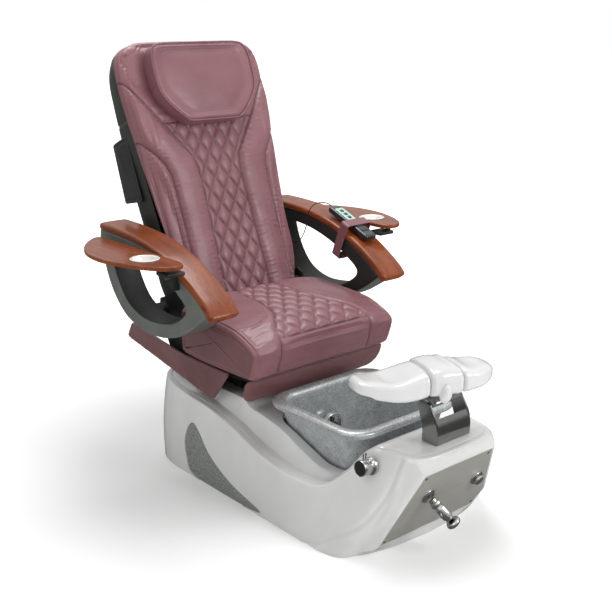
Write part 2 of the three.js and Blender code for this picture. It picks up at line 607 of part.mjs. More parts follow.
function buildArm(side, s) {
  const arm = new THREE.Group();
  chair.add(arm);
  const top = smooth(TOP_LINE, 16, false);
  const lower = smooth([TOP_LINE.at(-1), ...RING_LOWER, TOP_LINE[0]], 22, false).slice(1, -1);
  const [x0, x1] = s < 0 ? [-ARM.outer, -ARM.inner] : [ARM.inner, ARM.outer];
  add("arm_ring_" + side, extrudeX([...top, ...lower], x0, x1, smooth(HOLE, 30)), ARM_GREY, arm);

  const under = smooth(TOP_LINE, 20, false);
  const upper = under.map(([y, z], i) => {
    const [a, b] = [under[Math.max(0, i - 1)], under[Math.min(20, i + 1)]];
    const long = Math.hypot(b[0] - a[0], b[1] - a[1]);
    const out = GAP + ARM.woodThick;
    return [y - ((b[1] - a[1]) / long) * out, z + ((b[0] - a[0]) / long) * out];
  });
  const seatLine = under.map(([y, z], i) => {
    const [a, b] = [under[Math.max(0, i - 1)], under[Math.min(20, i + 1)]];
    const long = Math.hypot(b[0] - a[0], b[1] - a[1]);
    return [y - ((b[1] - a[1]) / long) * GAP, z + ((b[0] - a[0]) / long) * GAP];
  });
  const wood = extrudeX([...upper, ...seatLine.reverse()], x0 - ARM.woodOver, x1 + ARM.woodOver);
  add("arm_top_" + side, wood, WOOD, arm);

  // Tray post, standing on a lug fixed to the outer face of the arm.
  const { pivotX, pivotY } = TRAY;
  const slab = (xa, xb, ...rest) => box(Math.min(s * xa, s * xb), Math.max(s * xa, s * xb), ...rest);
  const flange = slab(ARM.outer + GAP, 456, 700, 768, 756, 780);
  const foot = slab(ARM.outer + GAP, 474, 698, 717, 756, 780);
  const riser = slab(457, 474, 698, 717, 778, 830);
  const shelf = slab(457, pivotX + 16, pivotY - 16, 717, 818, 830);
  const post = rod(11, TRAY.low - 829 - GAP, 16).translate(s * pivotX, pivotY, 829);
  add("tray_post_" + side, join(flange, foot, riser, shelf, post), BLACK, arm);

  // Tray: long leaf with a straight edge beside the arm and a round seat for the bowl.
  const edge = smooth(TRAY_OUTLINE, 44).map(([x, y]) => new THREE.Vector2(s * x, y));
  const outline = new THREE.Shape(edge);
  outline.holes.push(new THREE.Path().absarc(s * CUP.x, CUP.y, CUP.radius, 0, Math.PI * 2));
  const board = new THREE.ExtrudeGeometry(outline, { depth: TRAY.thick, bevelEnabled: false, curveSegments: 24 });
  add("tray_" + side, bare(board), WOOD, arm).position.z = TRAY.low;

  const r = CUP.radius - 1;
  const bowl = turned([[0, -CUP.depth], [r * 0.7, -CUP.depth], [r, -8], [r, GAP], [r + 7, GAP], [r + 7, 3], [r - 3, 3], [r * 0.68, -CUP.depth + 5], [0, -CUP.depth + 4]], 24);
  add("bowl_insert_" + side, bowl, CERAMIC, arm).position.set(s * CUP.x, CUP.y, TRAY.low + TRAY.thick);
}

const REMOTE = { x: 397, y: 756, z: 852, slope: 21.8, length: 235, width: 58, thick: 24 };

function buildRemote() {
  const remote = new THREE.Group();
  remote.position.set(REMOTE.x, REMOTE.y, REMOTE.z);
  remote.rotation.x = radians(REMOTE.slope);
  chair.add(remote);
  const { length, width, thick } = REMOTE;
  const shellRing = (y, half, lowZ, topZ) => {
    const flat = roundedRing(0, 0, half, (topZ - lowZ) / 2, 8, 0, 3);
    return flat.map(([x, z]) => [x, y, z + (lowZ + topZ) / 2]);
  };
  const rings = [[-length / 2, width / 2 - 8, 4, thick - 5], [-length / 2 + 12, width / 2, 0, thick], [length / 2 - 12, width / 2, 0, thick], [length / 2, width / 2 - 8, 4, thick - 5]];
  const face = loft([0, 1.6].map((z) => roundedRing(0, 42, 21, 48, 6, z + thick + GAP, 4)));
  const holes = [20, 44, 68].map((y) => rod(8.6, 10, 16).translate(0, y, thick - 2.2)); // wells the buttons sink into
  add("remote_body", cut(loft(rings.map((row) => shellRing(...row))), ...holes), BLACK, remote);
  add("remote_keypad", cut(face, ...holes), SCREEN, remote);
  [20, 44, 68].forEach((y, i) => {
    add("remote_button_" + (i + 1), turned([[0, 0], [8, 0], [8, 3.4], [6.5, 4.4], [0, 4.6]], 16), BLACK, remote).position.set(0, y, thick + GAP);
  });

  // Strap round the arm and the remote, as one closed band.
  const armHalf = (ARM.outer - ARM.inner) / 2 + ARM.woodOver;
  const [inX, outX, inLow, inHigh] = [armHalf + 1, armHalf + 4, -118, thick + 3];
  const band = cut(box(-outX, outX, -42, 0, inLow - 5, inHigh + 5), box(-inX, inX, -60, 10, inLow, inHigh));
  add("remote_strap", band, LEATHER, remote);
}

// Lead from the remote's rear, over the arm's inner side and into a socket on the ring.
const CORD = [[397, 866, 908], [397, 886, 918], [386, 908, 922], [356, 922, 918], [333, 928, 898], [327, 934, 858], [327, 954, 804], [328, 984, 764], [331, 1010, 752], [331, 1030, 752]];

function buildCord() {
  add("remote_cord", tube(CORD, 2, 40, 8), RUBBER);
  const plug = turned([[0, 0], [5, 0], [8, 4], [8, 26], [0, 26]], 14);
  aim(add("remote_plug", plug, BLACK), [331, 1030.5, 752], [0, 1, 0]);
  add("remote_socket", box(321, ARM.inner - GAP, 1057, 1085, 740, 766), BLACK);
}

buildBase();
buildTub();
buildPanel();
buildSideValve();
buildFootrest();
buildSeat();
buildBack();
for (const [side, s] of SIDES) buildArm(side, s);
buildRemote();
buildCord();

// Stand the chair on z = 0 with its box centred on the origin.
const extent = new THREE.Box3().setFromObject(chair, true);
chair.position.set(-(extent.min.x + extent.max.x) / 2, -(extent.min.y + extent.max.y) / 2, -extent.min.z);

export default chair;
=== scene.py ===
# Looks of the pedicure spa chair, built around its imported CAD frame.
# Helper lengths are millimetres in the part's own frame; DEPTH_SHIFT brings them to the row frame.
import json
import math

import bpy
import numpy as np
from mathutils import Matrix

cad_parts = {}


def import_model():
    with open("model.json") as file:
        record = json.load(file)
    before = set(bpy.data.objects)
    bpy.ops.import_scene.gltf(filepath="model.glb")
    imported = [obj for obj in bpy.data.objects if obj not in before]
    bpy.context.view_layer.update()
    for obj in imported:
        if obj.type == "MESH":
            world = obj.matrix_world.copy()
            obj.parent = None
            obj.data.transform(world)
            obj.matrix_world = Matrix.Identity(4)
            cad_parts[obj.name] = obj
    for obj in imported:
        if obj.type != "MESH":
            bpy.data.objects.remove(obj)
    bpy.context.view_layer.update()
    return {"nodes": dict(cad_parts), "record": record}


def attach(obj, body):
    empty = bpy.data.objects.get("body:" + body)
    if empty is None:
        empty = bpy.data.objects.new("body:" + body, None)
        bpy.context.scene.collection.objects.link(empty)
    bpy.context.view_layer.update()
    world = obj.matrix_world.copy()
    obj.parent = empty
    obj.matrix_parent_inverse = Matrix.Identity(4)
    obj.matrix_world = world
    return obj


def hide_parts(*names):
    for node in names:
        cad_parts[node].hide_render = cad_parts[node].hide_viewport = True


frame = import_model()
DEPTH_SHIFT = -580.0114299463526
SIDES = (("right", -1), ("left", 1))
scene = bpy.context.scene

# ------------------------------------------------------------------ camera
camera_data = bpy.data.cameras.new("camera")
camera_data.lens = 58.82
camera_data.sensor_width = 36
camera = bpy.data.objects.new("camera", camera_data)
camera.location = (-2.25483, -2.6057914, 1.66)
camera.rotation_euler = (math.radians(73.5), 0, math.radians(-41))
scene.collection.objects.link(camera)
scene.camera = camera


# ------------------------------------------------------------------ frames
def turn_x(degrees):
    a = math.radians(degrees)
    return np.array([[1, 0, 0], [0, math.cos(a), -math.sin(a)], [0, math.sin(a), math.cos(a)]])


def turn_z(degrees):
    a = math.radians(degrees)
    return np.array([[math.cos(a), -math.sin(a), 0], [math.sin(a), math.cos(a), 0], [0, 0, 1]])


def facing(direction):
    """Rotation that turns +Z to a direction, as the shortest turn."""
    d = np.array(direction, float)
    d /= np.linalg.norm(d)
    axis = np.cross([0, 0, 1], d)
    s, c = np.linalg.norm(axis), d[2]
    if s < 1e-9:
        return np.eye(3)
    k = axis / s
    skew = np.array([[0, -k[2], k[1]], [k[2], 0, -k[0]], [-k[1], k[0], 0]])
    return np.eye(3) + s * skew + (1 - c) * skew @ skew


PART = ((0, 0, 0), np.eye(3))
BACK = ((0, 950, 620), turn_x(-21))
FOOT = ((18, -68, 470), turn_z(-20))
REMOTE = ((397, 756, 852), turn_x(21.8))
PANEL_TILT = math.radians(23.75)
PANEL = (
    (0, -58, 36),
    np.array([
        [1, 0, 0],
        [0, -math.sin(PANEL_TILT), -math.cos(PANEL_TILT)],
        [0, math.cos(PANEL_TILT), -math.sin(PANEL_TILT)],
    ]),
)


def world(points, place=PART):
    """Points in millimetres in a local frame, as metres in the row frame."""
    origin, turn = place
    p = np.asarray(points, float).reshape(-1, 3) @ np.asarray(turn).T + np.array(origin, float)
    return (p + [0, DEPTH_SHIFT, 0]) / 1000


def local(place, origin, turn=np.eye(3)):
    """A frame inside another frame."""
    o, t = place
    return tuple(np.array(o) + t @ np.array(origin, float)), t @ turn


# ------------------------------------------------------------------ curves and numbers
TINY = 1e-9


def angles(count):
    """Angles spread evenly round one whole turn."""
    return np.linspace(0, 2 * math.pi, count, endpoint=False)


def bell(x, width):
    """1 at x = 0, fading to 0 on both sides."""
    return np.exp(-(x / width) ** 2)


def swell(distance, reach):
    """0 at a seam, rising to 1 away from it."""
    return 1 - np.exp(-distance / reach)


def column(table, k):
    """One column of a table of rows."""
    return [row[k] for row in table]


def lengths_along(line):
    """Length from the first point of a polyline to each of its points."""
    return np.concatenate([[0], np.cumsum(np.linalg.norm(np.diff(line, axis=0), axis=1))])


def loop_normals(loop, centre):
    """Unit normals of a closed flat loop, pointing away from a centre."""
    step = np.roll(loop, -1, 0) - np.roll(loop, 1, 0)
    normal = np.column_stack([step[:, 1], -step[:, 0]])
    normal /= np.maximum(np.linalg.norm(normal, axis=1, keepdims=True), TINY)
    return -normal if (normal * (loop - centre)).sum() < 0 else normal


def hermite(xs, ys, x):
    """Smooth interpolation of a table of rising xs."""
    xs, ys, x = np.asarray(xs, float), np.asarray(ys, float), np.asarray(x, float)
    d = np.diff(ys) / np.diff(xs)
    m = np.concatenate([[d[0]], (d[1:] + d[:-1]) / 2, [d[-1]]])
    flat = np.concatenate([[False], d[1:] * d[:-1] <= 0, [False]])
    m[flat] = 0
    i = np.clip(np.searchsorted(xs, x) - 1, 0, len(xs) - 2)
    h = xs[i + 1] - xs[i]
    t = np.clip((x - xs[i]) / h, 0, 1)
    return (
        (2 * t**3 - 3 * t**2 + 1) * ys[i] + (t**3 - 2 * t**2 + t) * h * m[i]
        + (3 * t**2 - 2 * t**3) * ys[i + 1] + (t**3 - t**2) * h * m[i + 1]
    )


def spline(points, count, closed=False):
    """Centripetal Catmull-Rom curve through points, resampled evenly along its length."""
    p = np.asarray(points, float)
    p = np.vstack([p[-1], p, p[:2]]) if closed else np.vstack([2 * p[0] - p[1], p, 2 * p[-1] - p[-2]])
    out = []
    for a, b, c, d in zip(p[:-3], p[1:-2], p[2:-1], p[3:]):
        t0 = 0.0
        t1 = t0 + max(np.linalg.norm(b - a), 1e-9) ** 0.5
        t2 = t1 + max(np.linalg.norm(c - b), 1e-9) ** 0.5
        t3 = t2 + max(np.linalg.norm(d - c), 1e-9) ** 0.5
        t = np.linspace(t1, t2, 25)[:-1, None]
        ab = (t1 - t) / (t1 - t0) * a + (t - t0) / (t1 - t0) * b
        bc = (t2 - t) / (t2 - t1) * b + (t - t1) / (t2 - t1) * c
        cd = (t3 - t) / (t3 - t2) * c + (t - t2) / (t3 - t2) * d
        abc = (t2 - t) / (t2 - t0) * ab + (t - t0) / (t2 - t0) * bc
        bcd = (t3 - t) / (t3 - t1) * bc + (t - t1) / (t3 - t1) * cd
        out.append((t2 - t) / (t2 - t1) * abc + (t - t1) / (t2 - t1) * bcd)
    out.append(p[-2][None])
    return spread(np.vstack(out), count, closed)


def spread(line, count, closed=False, weight=None):
    """Resamples a polyline evenly, or by a weight per segment."""
    step = np.linalg.norm(np.diff(line, axis=0), axis=1)
    if weight is not None:
        step = step * weight
    s = np.concatenate([[0], np.cumsum(step)])
    t = np.linspace(0, s[-1], count + 1)[:-1] if closed else np.linspace(0, s[-1], count)
    return np.stack([np.interp(t, s, line[:, k]) for k in range(line.shape[1])], 1)


def ease(x, low, high):
    t = np.clip((x - low) / (high - low), 0, 1)
    return t * t * (3 - 2 * t)


def distance_to(line, points):
    """Least distance from each point to an open polyline, in any number of dimensions."""
    line = np.asarray(line, float)
    best = np.full(len(points), 1e9)
    for a, b in zip(line[:-1], line[1:]):
        ab = b - a
        t = np.clip((points - a) @ ab / max(ab @ ab, 1e-12), 0, 1)
        best = np.minimum(best, np.linalg.norm(points - (a + t[:, None] * ab), axis=1))
    return best


def drift(points, size, seed):
    """Smooth noise from -1 to 1: a few crossed waves with fixed odd directions."""
    rng = np.random.default_rng(seed)
    total = np.zeros(len(points))
    for _ in range(7):
        k = rng.normal(size=points.shape[1])
        k *= (0.6 + 0.9 * rng.random()) / np.linalg.norm(k)
        total += np.sin(points @ k * (2 * math.pi / size) + rng.random() * 6.283)
    return total / 4


# ------------------------------------------------------------------ meshes
def weld(obj, distance=0.00002):
    obj.modifiers.new("weld", "WELD").merge_threshold = distance


def soften(obj, width, degrees=30):
    """Bevels the edges that turn by more than an angle."""
    bevel = obj.modifiers.new("soften", "BEVEL")
    bevel.width, bevel.segments = width, 2
    bevel.limit_method, bevel.angle_limit = "ANGLE", math.radians(degrees)
    return bevel


def mesh_piece(name, points, faces, material, body, place=PART, smooth=True, crease=None):
    mesh = bpy.data.meshes.new(name)
    mesh.from_pydata(world(points, place).tolist(), [], faces)
    mesh.validate()
    return piece(name, mesh, material, body, smooth, crease)


def piece(name, mesh, material, body, smooth=True, crease=None):
    for m in material if isinstance(material, (list, tuple)) else [material]:
        mesh.materials.append(m)
    mesh.shade_smooth() if smooth else mesh.shade_flat()
    if crease:
        mesh.set_sharp_from_angle(angle=math.radians(crease))
    obj = bpy.data.objects.new(name, mesh)
    scene.collection.objects.link(obj)
    if body:
        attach(obj, body)
    return obj


def grid_faces(rows, cols, wrap=True, start=0):
    i, j = np.meshgrid(np.arange(rows - 1), np.arange(cols if wrap else cols - 1), indexing="ij")
    k = (j + 1) % cols
    quads = np.stack([i * cols + j, i * cols + k, (i + 1) * cols + k, (i + 1) * cols + j], -1) + start
    return quads.reshape(-1, 4).tolist()


def closed_grid(rings):
    """Faces of rings joined to a closed body, with both ends filled."""
    k, n = rings.shape[:2]
    ends = [list(range(n))[::-1], [(k - 1) * n + i for i in range(n)]]
    return grid_faces(k, n) + ends


def outward(rings):
    """Turns the rings round if their faces would point inwards."""
    k, n = rings.shape[:2]
    a, b = rings[:-1], rings[1:]
    u = np.roll(a, -1, 1) - a
    v = b - a
    middle = rings.reshape(-1, 3).mean(0)
    volume = (np.cross(u, v) * (a - middle)).sum()
    return rings if volume > 0 else rings[:, ::-1]


def grid_piece(name, rings, material, body, place=PART, crease=None):
    rings = outward(np.asarray(rings, float))
    faces = closed_grid(rings)
    return mesh_piece(name, rings.reshape(-1, 3), faces, material, body, place, True, crease)


def grid_normals(rings):
    """Unit normals of a closed grid of rings, pointing away from its middle."""
    v = np.gradient(rings, axis=0)
    u = np.roll(rings, -1, 1) - np.roll(rings, 1, 1)
    n = np.cross(u, v)
    n /= np.maximum(np.linalg.norm(n, axis=2, keepdims=True), TINY)
    return -n if (n * (rings - rings.reshape(-1, 3).mean(0))).sum() < 0 else n


def face_vectors(mesh, field):
    """A vector of every face of a mesh: its normal or its center."""
    values = np.zeros(len(mesh.polygons) * 3)
    mesh.polygons.foreach_get(field, values)
    return values.reshape(-1, 3)


def tube_piece(name, line, radius, material, body, place=PART, sides=12, closed=False):
    """Round tube along a line of points; radius may be one number or one per point."""
    line = np.asarray(line, float)
    tangent = np.gradient(line, axis=0)
    if closed:
        tangent = np.roll(line, -1, 0) - np.roll(line, 1, 0)
    tangent /= np.linalg.norm(tangent, axis=1, keepdims=True)
    side = np.cross(tangent[0], [0.13, 0.21, 0.97])
    side /= np.linalg.norm(side)
    radius = np.broadcast_to(radius, len(line))
    rings = []
    a = angles(sides)[:, None]
    for p, t, r in zip(line, tangent, radius):
        side = side - t * (side @ t)
        side /= np.linalg.norm(side)
        rings.append(p + r * (np.cos(a) * side + np.sin(a) * np.cross(t, side)))
    rings = np.array(rings)
    if not closed:
        return grid_piece(name, rings, material, body, place)
    rings = np.vstack([rings, rings[:1]])
    faces = grid_faces(len(rings), sides)
    return mesh_piece(name, rings.reshape(-1, 3), faces, material, body, place)


def lathe_piece(name, profile, material, body, place=PART, segments=64, crease=35, bend=None):
    """Turned piece about +Z. profile is [radius, height] pairs; radii of 0 close it."""
    p = np.array([[max(r, 0.02), h] for r, h in profile], float)
    a = angles(segments)
    rings = np.stack([p[:, :1] * np.cos(a), p[:, :1] * np.sin(a), np.repeat(p[:, 1:], segments, 1)], -1)
    if bend is not None:
        rings = bend(rings)
    return grid_piece(name, rings, material, body, place, crease)


def rounded(profile, radius, steps=4, closed=False):
    """Rounds the corners of a polyline; the radius shrinks where the sides are short."""
    p = np.asarray(profile, float)
    n, out = len(p), []
    for i in range(n):
        if not closed and i in (0, n - 1):
            out.append(p[i])
            continue
        a, b, c = p[i - 1], p[i], p[(i + 1) % n]
        u, v = a - b, c - b
        lu, lv = np.linalg.norm(u), np.linalg.norm(v)
        r = min(radius, lu * 0.45, lv * 0.45)
        start, end = b + u / lu * r, b + v / lv * r
        for t in np.linspace(0, 1, steps + 1):
            out.append((1 - t) ** 2 * start + 2 * t * (1 - t) * b + t * t * end)
    return np.array(out)


def plate_mesh(name, outline, thickness, bevel, holes=(), steps=4):
    """Flat plate with rounded edges in the XY plane, centred on z = 0, as a mesh in millimetres."""
    data = bpy.data.curves.new(name, "CURVE")
    data.dimensions, data.fill_mode = "2D", "BOTH"
    for line in [outline, *holes]:
        s = data.splines.new("POLY")
        s.points.add(len(line) - 1)
        s.points.foreach_set("co", np.column_stack([line, np.zeros(len(line)), np.ones(len(line))]).ravel())
        s.use_cyclic_u = True
    data.extrude, data.bevel_depth = thickness / 2 - bevel, bevel
    data.bevel_resolution, data.offset = steps, -bevel
    obj = bpy.data.objects.new(name, data)
    scene.collection.objects.link(obj)
    mesh = bpy.data.meshes.new_from_object(obj.evaluated_get(bpy.context.evaluated_depsgraph_get()))
    bpy.data.objects.remove(obj)
    return mesh


AXES_X = np.array([[0, 0, 1], [1, 0, 0], [0, 1, 0]], float)  # plate's X, Y, Z to part Y, Z, X


def plate_piece(name, outline, thickness, bevel, material, body, place=PART, holes=(), steps=4):
    mesh = plate_mesh(name, outline, thickness, bevel, holes, steps)
    co = np.zeros(len(mesh.vertices) * 3)
    mesh.vertices.foreach_get("co", co)
    mesh.vertices.foreach_set("co", world(co, place).ravel())
    obj = piece(name, mesh, material, body, True, 50)
    weighted = obj.modifiers.new("weighted", "WEIGHTED_NORMAL")
    weighted.keep_sharp = True
    weld(obj)
    obj.modifiers.move(1, 0)
    return obj


def along_x(x, place=PART):
    """Frame whose plate lies in the YZ plane at a given x."""
    return local(place, (x, 0, 0), AXES_X)


def joined(name, objects):
    """Joins pieces on one body into a single piece."""
    with bpy.context.temp_override(active_object=objects[0], selected_editable_objects=objects):
        bpy.ops.object.join()
    objects[0].name = name
    return objects[0]


def apply_modifiers(obj):
    mesh = bpy.data.meshes.new_from_object(obj.evaluated_get(bpy.context.evaluated_depsgraph_get()))
    obj.modifiers.clear()
    obj.data = mesh


def carve(obj, cutter, operation="DIFFERENCE"):
    cut = obj.modifiers.new("carve", "BOOLEAN")
    cut.operation, cut.object, cut.solver = operation, cutter, "EXACT"
    apply_modifiers(obj)
    bpy.data.objects.remove(cutter)
    obj.data.shade_smooth()
    obj.data.set_sharp_from_angle(angle=math.radians(32))


def rounded_ring(cx, cy, half_x, half_y, radius, count):
    """Rounded rectangle as a ring of evenly spread points."""
    corners = []
    for sx, sy, start in ((1, 1, 0), (-1, 1, 90), (-1, -1, 180), (1, -1, 270)):
        for a in np.radians(start + np.linspace(0, 90, 13)):
            corners.append([
                cx + sx * (half_x - radius) + radius * math.cos(a),
                cy + sy * (half_y - radius) + radius * math.sin(a),
            ])
    corners.append(corners[0])
    return spread(np.array(corners), count, True)


# ------------------------------------------------------------------ soft goods
def inflate(rings, pinned, cap, pressure=4.0):
    """Blows a closed coarse form up as cloth, with pinned vertices held; returns how far each one moved."""
    rings = np.asarray(rings, float)
    obj = mesh_piece("inflating", rings.reshape(-1, 3), closed_grid(rings), [], None)
    pins = obj.vertex_groups.new(name="pins")
    weight = np.clip(pinned.ravel(), 0, 1)
    for i in np.nonzero(weight > 0.01)[0]:
        pins.add([int(i)], float(weight[i]), "REPLACE")
    cloth = obj.modifiers.new("cloth", "CLOTH")
    cloth.settings.quality = 6
    cloth.settings.mass = 0.3
    cloth.settings.tension_stiffness = 24
    cloth.settings.compression_stiffness = 24
    cloth.settings.bending_stiffness = 0.8
    cloth.settings.vertex_group_mass = "pins"
    cloth.settings.use_pressure = True
    cloth.settings.uniform_pressure_force = pressure
    cloth.settings.effector_weights.gravity = 0
    cloth.point_cache.frame_start, cloth.point_cache.frame_end = 1, 20
    for f in range(1, 21):
        scene.frame_set(f)
    done = obj.evaluated_get(bpy.context.evaluated_depsgraph_get()).to_mesh()
    co = np.zeros(len(done.vertices) * 3)
    done.vertices.foreach_get("co", co)
    before = world(rings)
    moved = (co.reshape(-1, 3) - before) * 1000
    scene.frame_set(1)
    bpy.data.objects.remove(obj)
    length = np.linalg.norm(moved, axis=1, keepdims=True)
    moved *= np.minimum(1, cap / np.maximum(length, 1e-9))
    return moved.reshape(rings.shape)


def refine(moved, rows, cols):
    """Brings a coarse grid of movements to a dense grid of the same layout."""
    k, n = moved.shape[:2]
    u = np.linspace(0, k - 1, rows)
    v = np.linspace(0, n, cols, endpoint=False)
    i, j = np.minimum(u.astype(int), k - 2), v.astype(int)
    s, t = ease(u - i, 0, 1)[:, None, None], ease(v - j, 0, 1)[None, :, None]
    a = moved[i][:, j % n] * (1 - t) + moved[i][:, (j + 1) % n] * t
    b = moved[i + 1][:, j % n] * (1 - t) + moved[i + 1][:, (j + 1) % n] * t
    return a * (1 - s) + b * s


def lattice(a, b, wide, tall, at_a, at_b):
    """Distance to each of the two families of crossing quilt lines, with a crossing at (at_a, at_b)."""
    size = 1 / math.hypot(1 / wide, 1 / tall)
    found = []
    for sign in (1, -1):
        v = (a - at_a) / wide + sign * (b - at_b) / tall
        found.append(np.abs(v - np.round(v)) * size)
    return found


def pad_rings(outline, thick, edge, inset_rows, rim_rows):
    """Rings of a flat rounded pad over a closed outline: rows of (a, b, c, r), c from 0 front to -thick."""
    middle = outline.mean(0)
    rows = []
    for r in np.linspace(0.02, 1, inset_rows):
        rows.append((r, 0.0, 0.0))
    for t in np.linspace(0, math.pi, rim_rows)[1:-1]:
        rows.append((1, edge * math.sin(t), -thick / 2 + thick / 2 * math.cos(t)))
    for r in np.linspace(1, 0.02, inset_rows):
        rows.append((r, 0.0, -thick))
    normal = loop_normals(outline, middle)
    rings = []
    for r, out, c in rows:
        flat = middle + (outline - normal * edge - middle) * r + normal * out
        rings.append(np.column_stack([flat, np.full(len(flat), c), np.full(len(flat), r)]))
    return np.array(rings)


# ------------------------------------------------------------------ materials
def rgb(r, g, b):
    """An 8-bit sRGB colour as linear values."""
    out = []
    for v in (r, g, b):
        v /= 255
        out.append(v / 12.92 if v <= 0.04045 else ((v + 0.055) / 1.055) ** 2.4)
    return (*out, 1)


class Finish:
    """A Principled material with a few procedural layers in object coordinates."""

    def __init__(self, name, colour, rough, metal=0.0, coat=0.0, coat_rough=0.05, specular=0.5):
        self.material = bpy.data.materials.new(name)
        self.material.use_nodes = True
        self.tree = self.material.node_tree
        self.shader = self.tree.nodes["Principled BSDF"]
        self.coords = self.tree.nodes.new("ShaderNodeTexCoord").outputs["Object"]
        self.heights = None
        self.set("Base Color", rgb(*colour))
        self.set("Roughness", rough)
        self.set("Metallic", metal)
        self.set("Coat Weight", coat)
        self.set("Coat Roughness", coat_rough)
        self.set("Specular IOR Level", specular)

    def set(self, socket, value):
        if isinstance(value, bpy.types.NodeSocket):
            self.tree.links.new(value, self.shader.inputs[socket])
        else:
            self.shader.inputs[socket].default_value = value
        return self

    def space(self, stretch=(1, 1, 1), turn=(0, 0, 0)):
        node = self.tree.nodes.new("ShaderNodeMapping")
        node.inputs["Scale"].default_value = stretch
        node.inputs["Rotation"].default_value = [math.radians(a) for a in turn]
        self.tree.links.new(self.coords, node.inputs["Vector"])
        return node.outputs["Vector"]

    def noise(self, scale, detail=3.0, stretch=(1, 1, 1), turn=(0, 0, 0), rough=0.55, warp=0.0):
        node = self.tree.nodes.new("ShaderNodeTexNoise")
        node.inputs["Scale"].default_value = scale
        node.inputs["Detail"].default_value = detail
        node.inputs["Roughness"].default_value = rough
        node.inputs["Distortion"].default_value = warp
        self.tree.links.new(self.space(stretch, turn), node.inputs["Vector"])
        return node.outputs["Fac"]

    def cells(self, scale, feature="F1", output="Distance"):
        node = self.tree.nodes.new("ShaderNodeTexVoronoi")
        node.feature = feature
        node.inputs["Scale"].default_value = scale
        self.tree.links.new(self.space(), node.inputs["Vector"])
        return node.outputs[output]

    def attribute(self, name):
        """A value stored at the points of the mesh, 0 where a mesh has none."""
        node = self.tree.nodes.new("ShaderNodeAttribute")
        node.attribute_name = name
        return node.outputs["Fac"]

    def ramp(self, value, stops):
        """Colour ramp; each stop is (position, colour) with an sRGB colour or one grey number from 0 to 1."""
        node = self.tree.nodes.new("ShaderNodeValToRGB")
        ramp = node.color_ramp
        while len(ramp.elements) < len(stops):
            ramp.elements.new(0.5)
        for element, (position, colour) in zip(ramp.elements, stops):
            element.position = position
            element.color = rgb(*colour) if isinstance(colour, tuple) else (colour, colour, colour, 1)
        self.tree.links.new(value, node.inputs["Fac"])
        return node.outputs["Color"]

    def mix(self, share, a, b, blend="MIX"):
        node = self.tree.nodes.new("ShaderNodeMix")
        node.data_type, node.blend_type = "RGBA", blend
        for socket, value in (("Factor_Float", share), ("A_Color", a), ("B_Color", b)):
            target = next(s for s in node.inputs if s.identifier == socket)
            if isinstance(value, bpy.types.NodeSocket):
                self.tree.links.new(value, target)
            else:
                target.default_value = value
        return next(s for s in node.outputs if s.identifier == "Result_Color")

    def bump(self, height, distance, strength=1.0):
        """Adds one more layer of relief, depths in metres."""
        node = self.tree.nodes.new("ShaderNodeBump")
        node.inputs["Strength"].default_value = strength
        node.inputs["Distance"].default_value = distance
        self.tree.links.new(height, node.inputs["Height"])
        if self.heights is not None:
            self.tree.links.new(self.heights, node.inputs["Normal"])
        self.heights = node.outputs["Normal"]
        self.tree.links.new(self.heights, self.shader.inputs["Normal"])
        return self


def leather(name, light, base, dark, rough=0.4, wrinkle=0.0016):
    f = Finish(name, base, rough, coat=0.12, coat_rough=0.28, specular=0.5)
    mottle = f.ramp(f.noise(5, 3, rough=0.5), [(0.25, dark), (0.5, base), (0.75, light)])
    fine = f.ramp(f.noise(160, 3), [(0.35, 0.9), (0.65, 1.0)])
    hide = f.mix(0.45, mottle, f.mix(1.0, mottle, fine, "MULTIPLY"))
    # Painted shade: the colour darkens towards a near-black tone where the seam attribute is high, in the
    # seam and stitch grooves.
    f.set("Base Color", f.mix(f.attribute("seam"), hide, rgb(*(c * 0.42 for c in dark))))
    f.set("Roughness", f.ramp(f.noise(24, 4), [(0.3, rough - 0.05), (0.7, rough + 0.07)]))
    f.bump(f.noise(20, 2, stretch=(1, 1, 1.6), warp=0.5), wrinkle, 0.35)
    f.bump(f.cells(620, "DISTANCE_TO_EDGE"), 0.0003, 0.5)
    f.bump(f.noise(1500, 2), 0.0002, 0.3)
    f.set("Sheen Weight", 0.08).set("Sheen Roughness", 0.4)
    return f.material


def plastic(name, colour, rough, coat=0.0, grain=900, depth=0.00012, vary=0.12):
    f = Finish(name, colour, rough, coat=coat)
    darker = tuple(c * (1 - vary) for c in colour)
    f.set("Base Color", f.ramp(f.noise(14, 4), [(0.3, darker), (0.7, colour)]))
    f.set("Roughness", f.ramp(f.noise(30, 4), [(0.3, rough - 0.03), (0.7, rough + 0.05)]))
    f.bump(f.noise(grain, 2), depth, 0.5)
    return f.material


def metal(name, colour, rough, streak=(1, 1, 1), scale=60, depth=0.00002, bare=1.0):
    f = Finish(name, colour, rough, metal=bare)
    darker = tuple(c * 0.93 for c in colour)
    f.set("Base Color", f.ramp(f.noise(scale / 4, 3, streak), [(0.3, darker), (0.7, colour)]))
    f.set("Roughness", f.ramp(f.noise(scale, 4, streak), [(0.3, rough * 0.8), (0.7, rough * 1.3)]))
    f.bump(f.noise(scale * 5, 2, streak), depth, 0.4)
    return f.material


def white_gloss(name, colour, rough=0.16):
    f = Finish(name, colour, rough, coat=0.6, coat_rough=0.04)
    off = tuple(c * 0.975 for c in colour)
    f.set("Base Color", f.ramp(f.noise(7, 3), [(0.35, off), (0.65, colour)]))
    f.set("Roughness", f.ramp(f.noise(45, 4), [(0.35, rough * 0.85), (0.7, rough * 1.35)]))
    f.bump(f.noise(60, 2), 0.00018, 0.25)
    return f.material


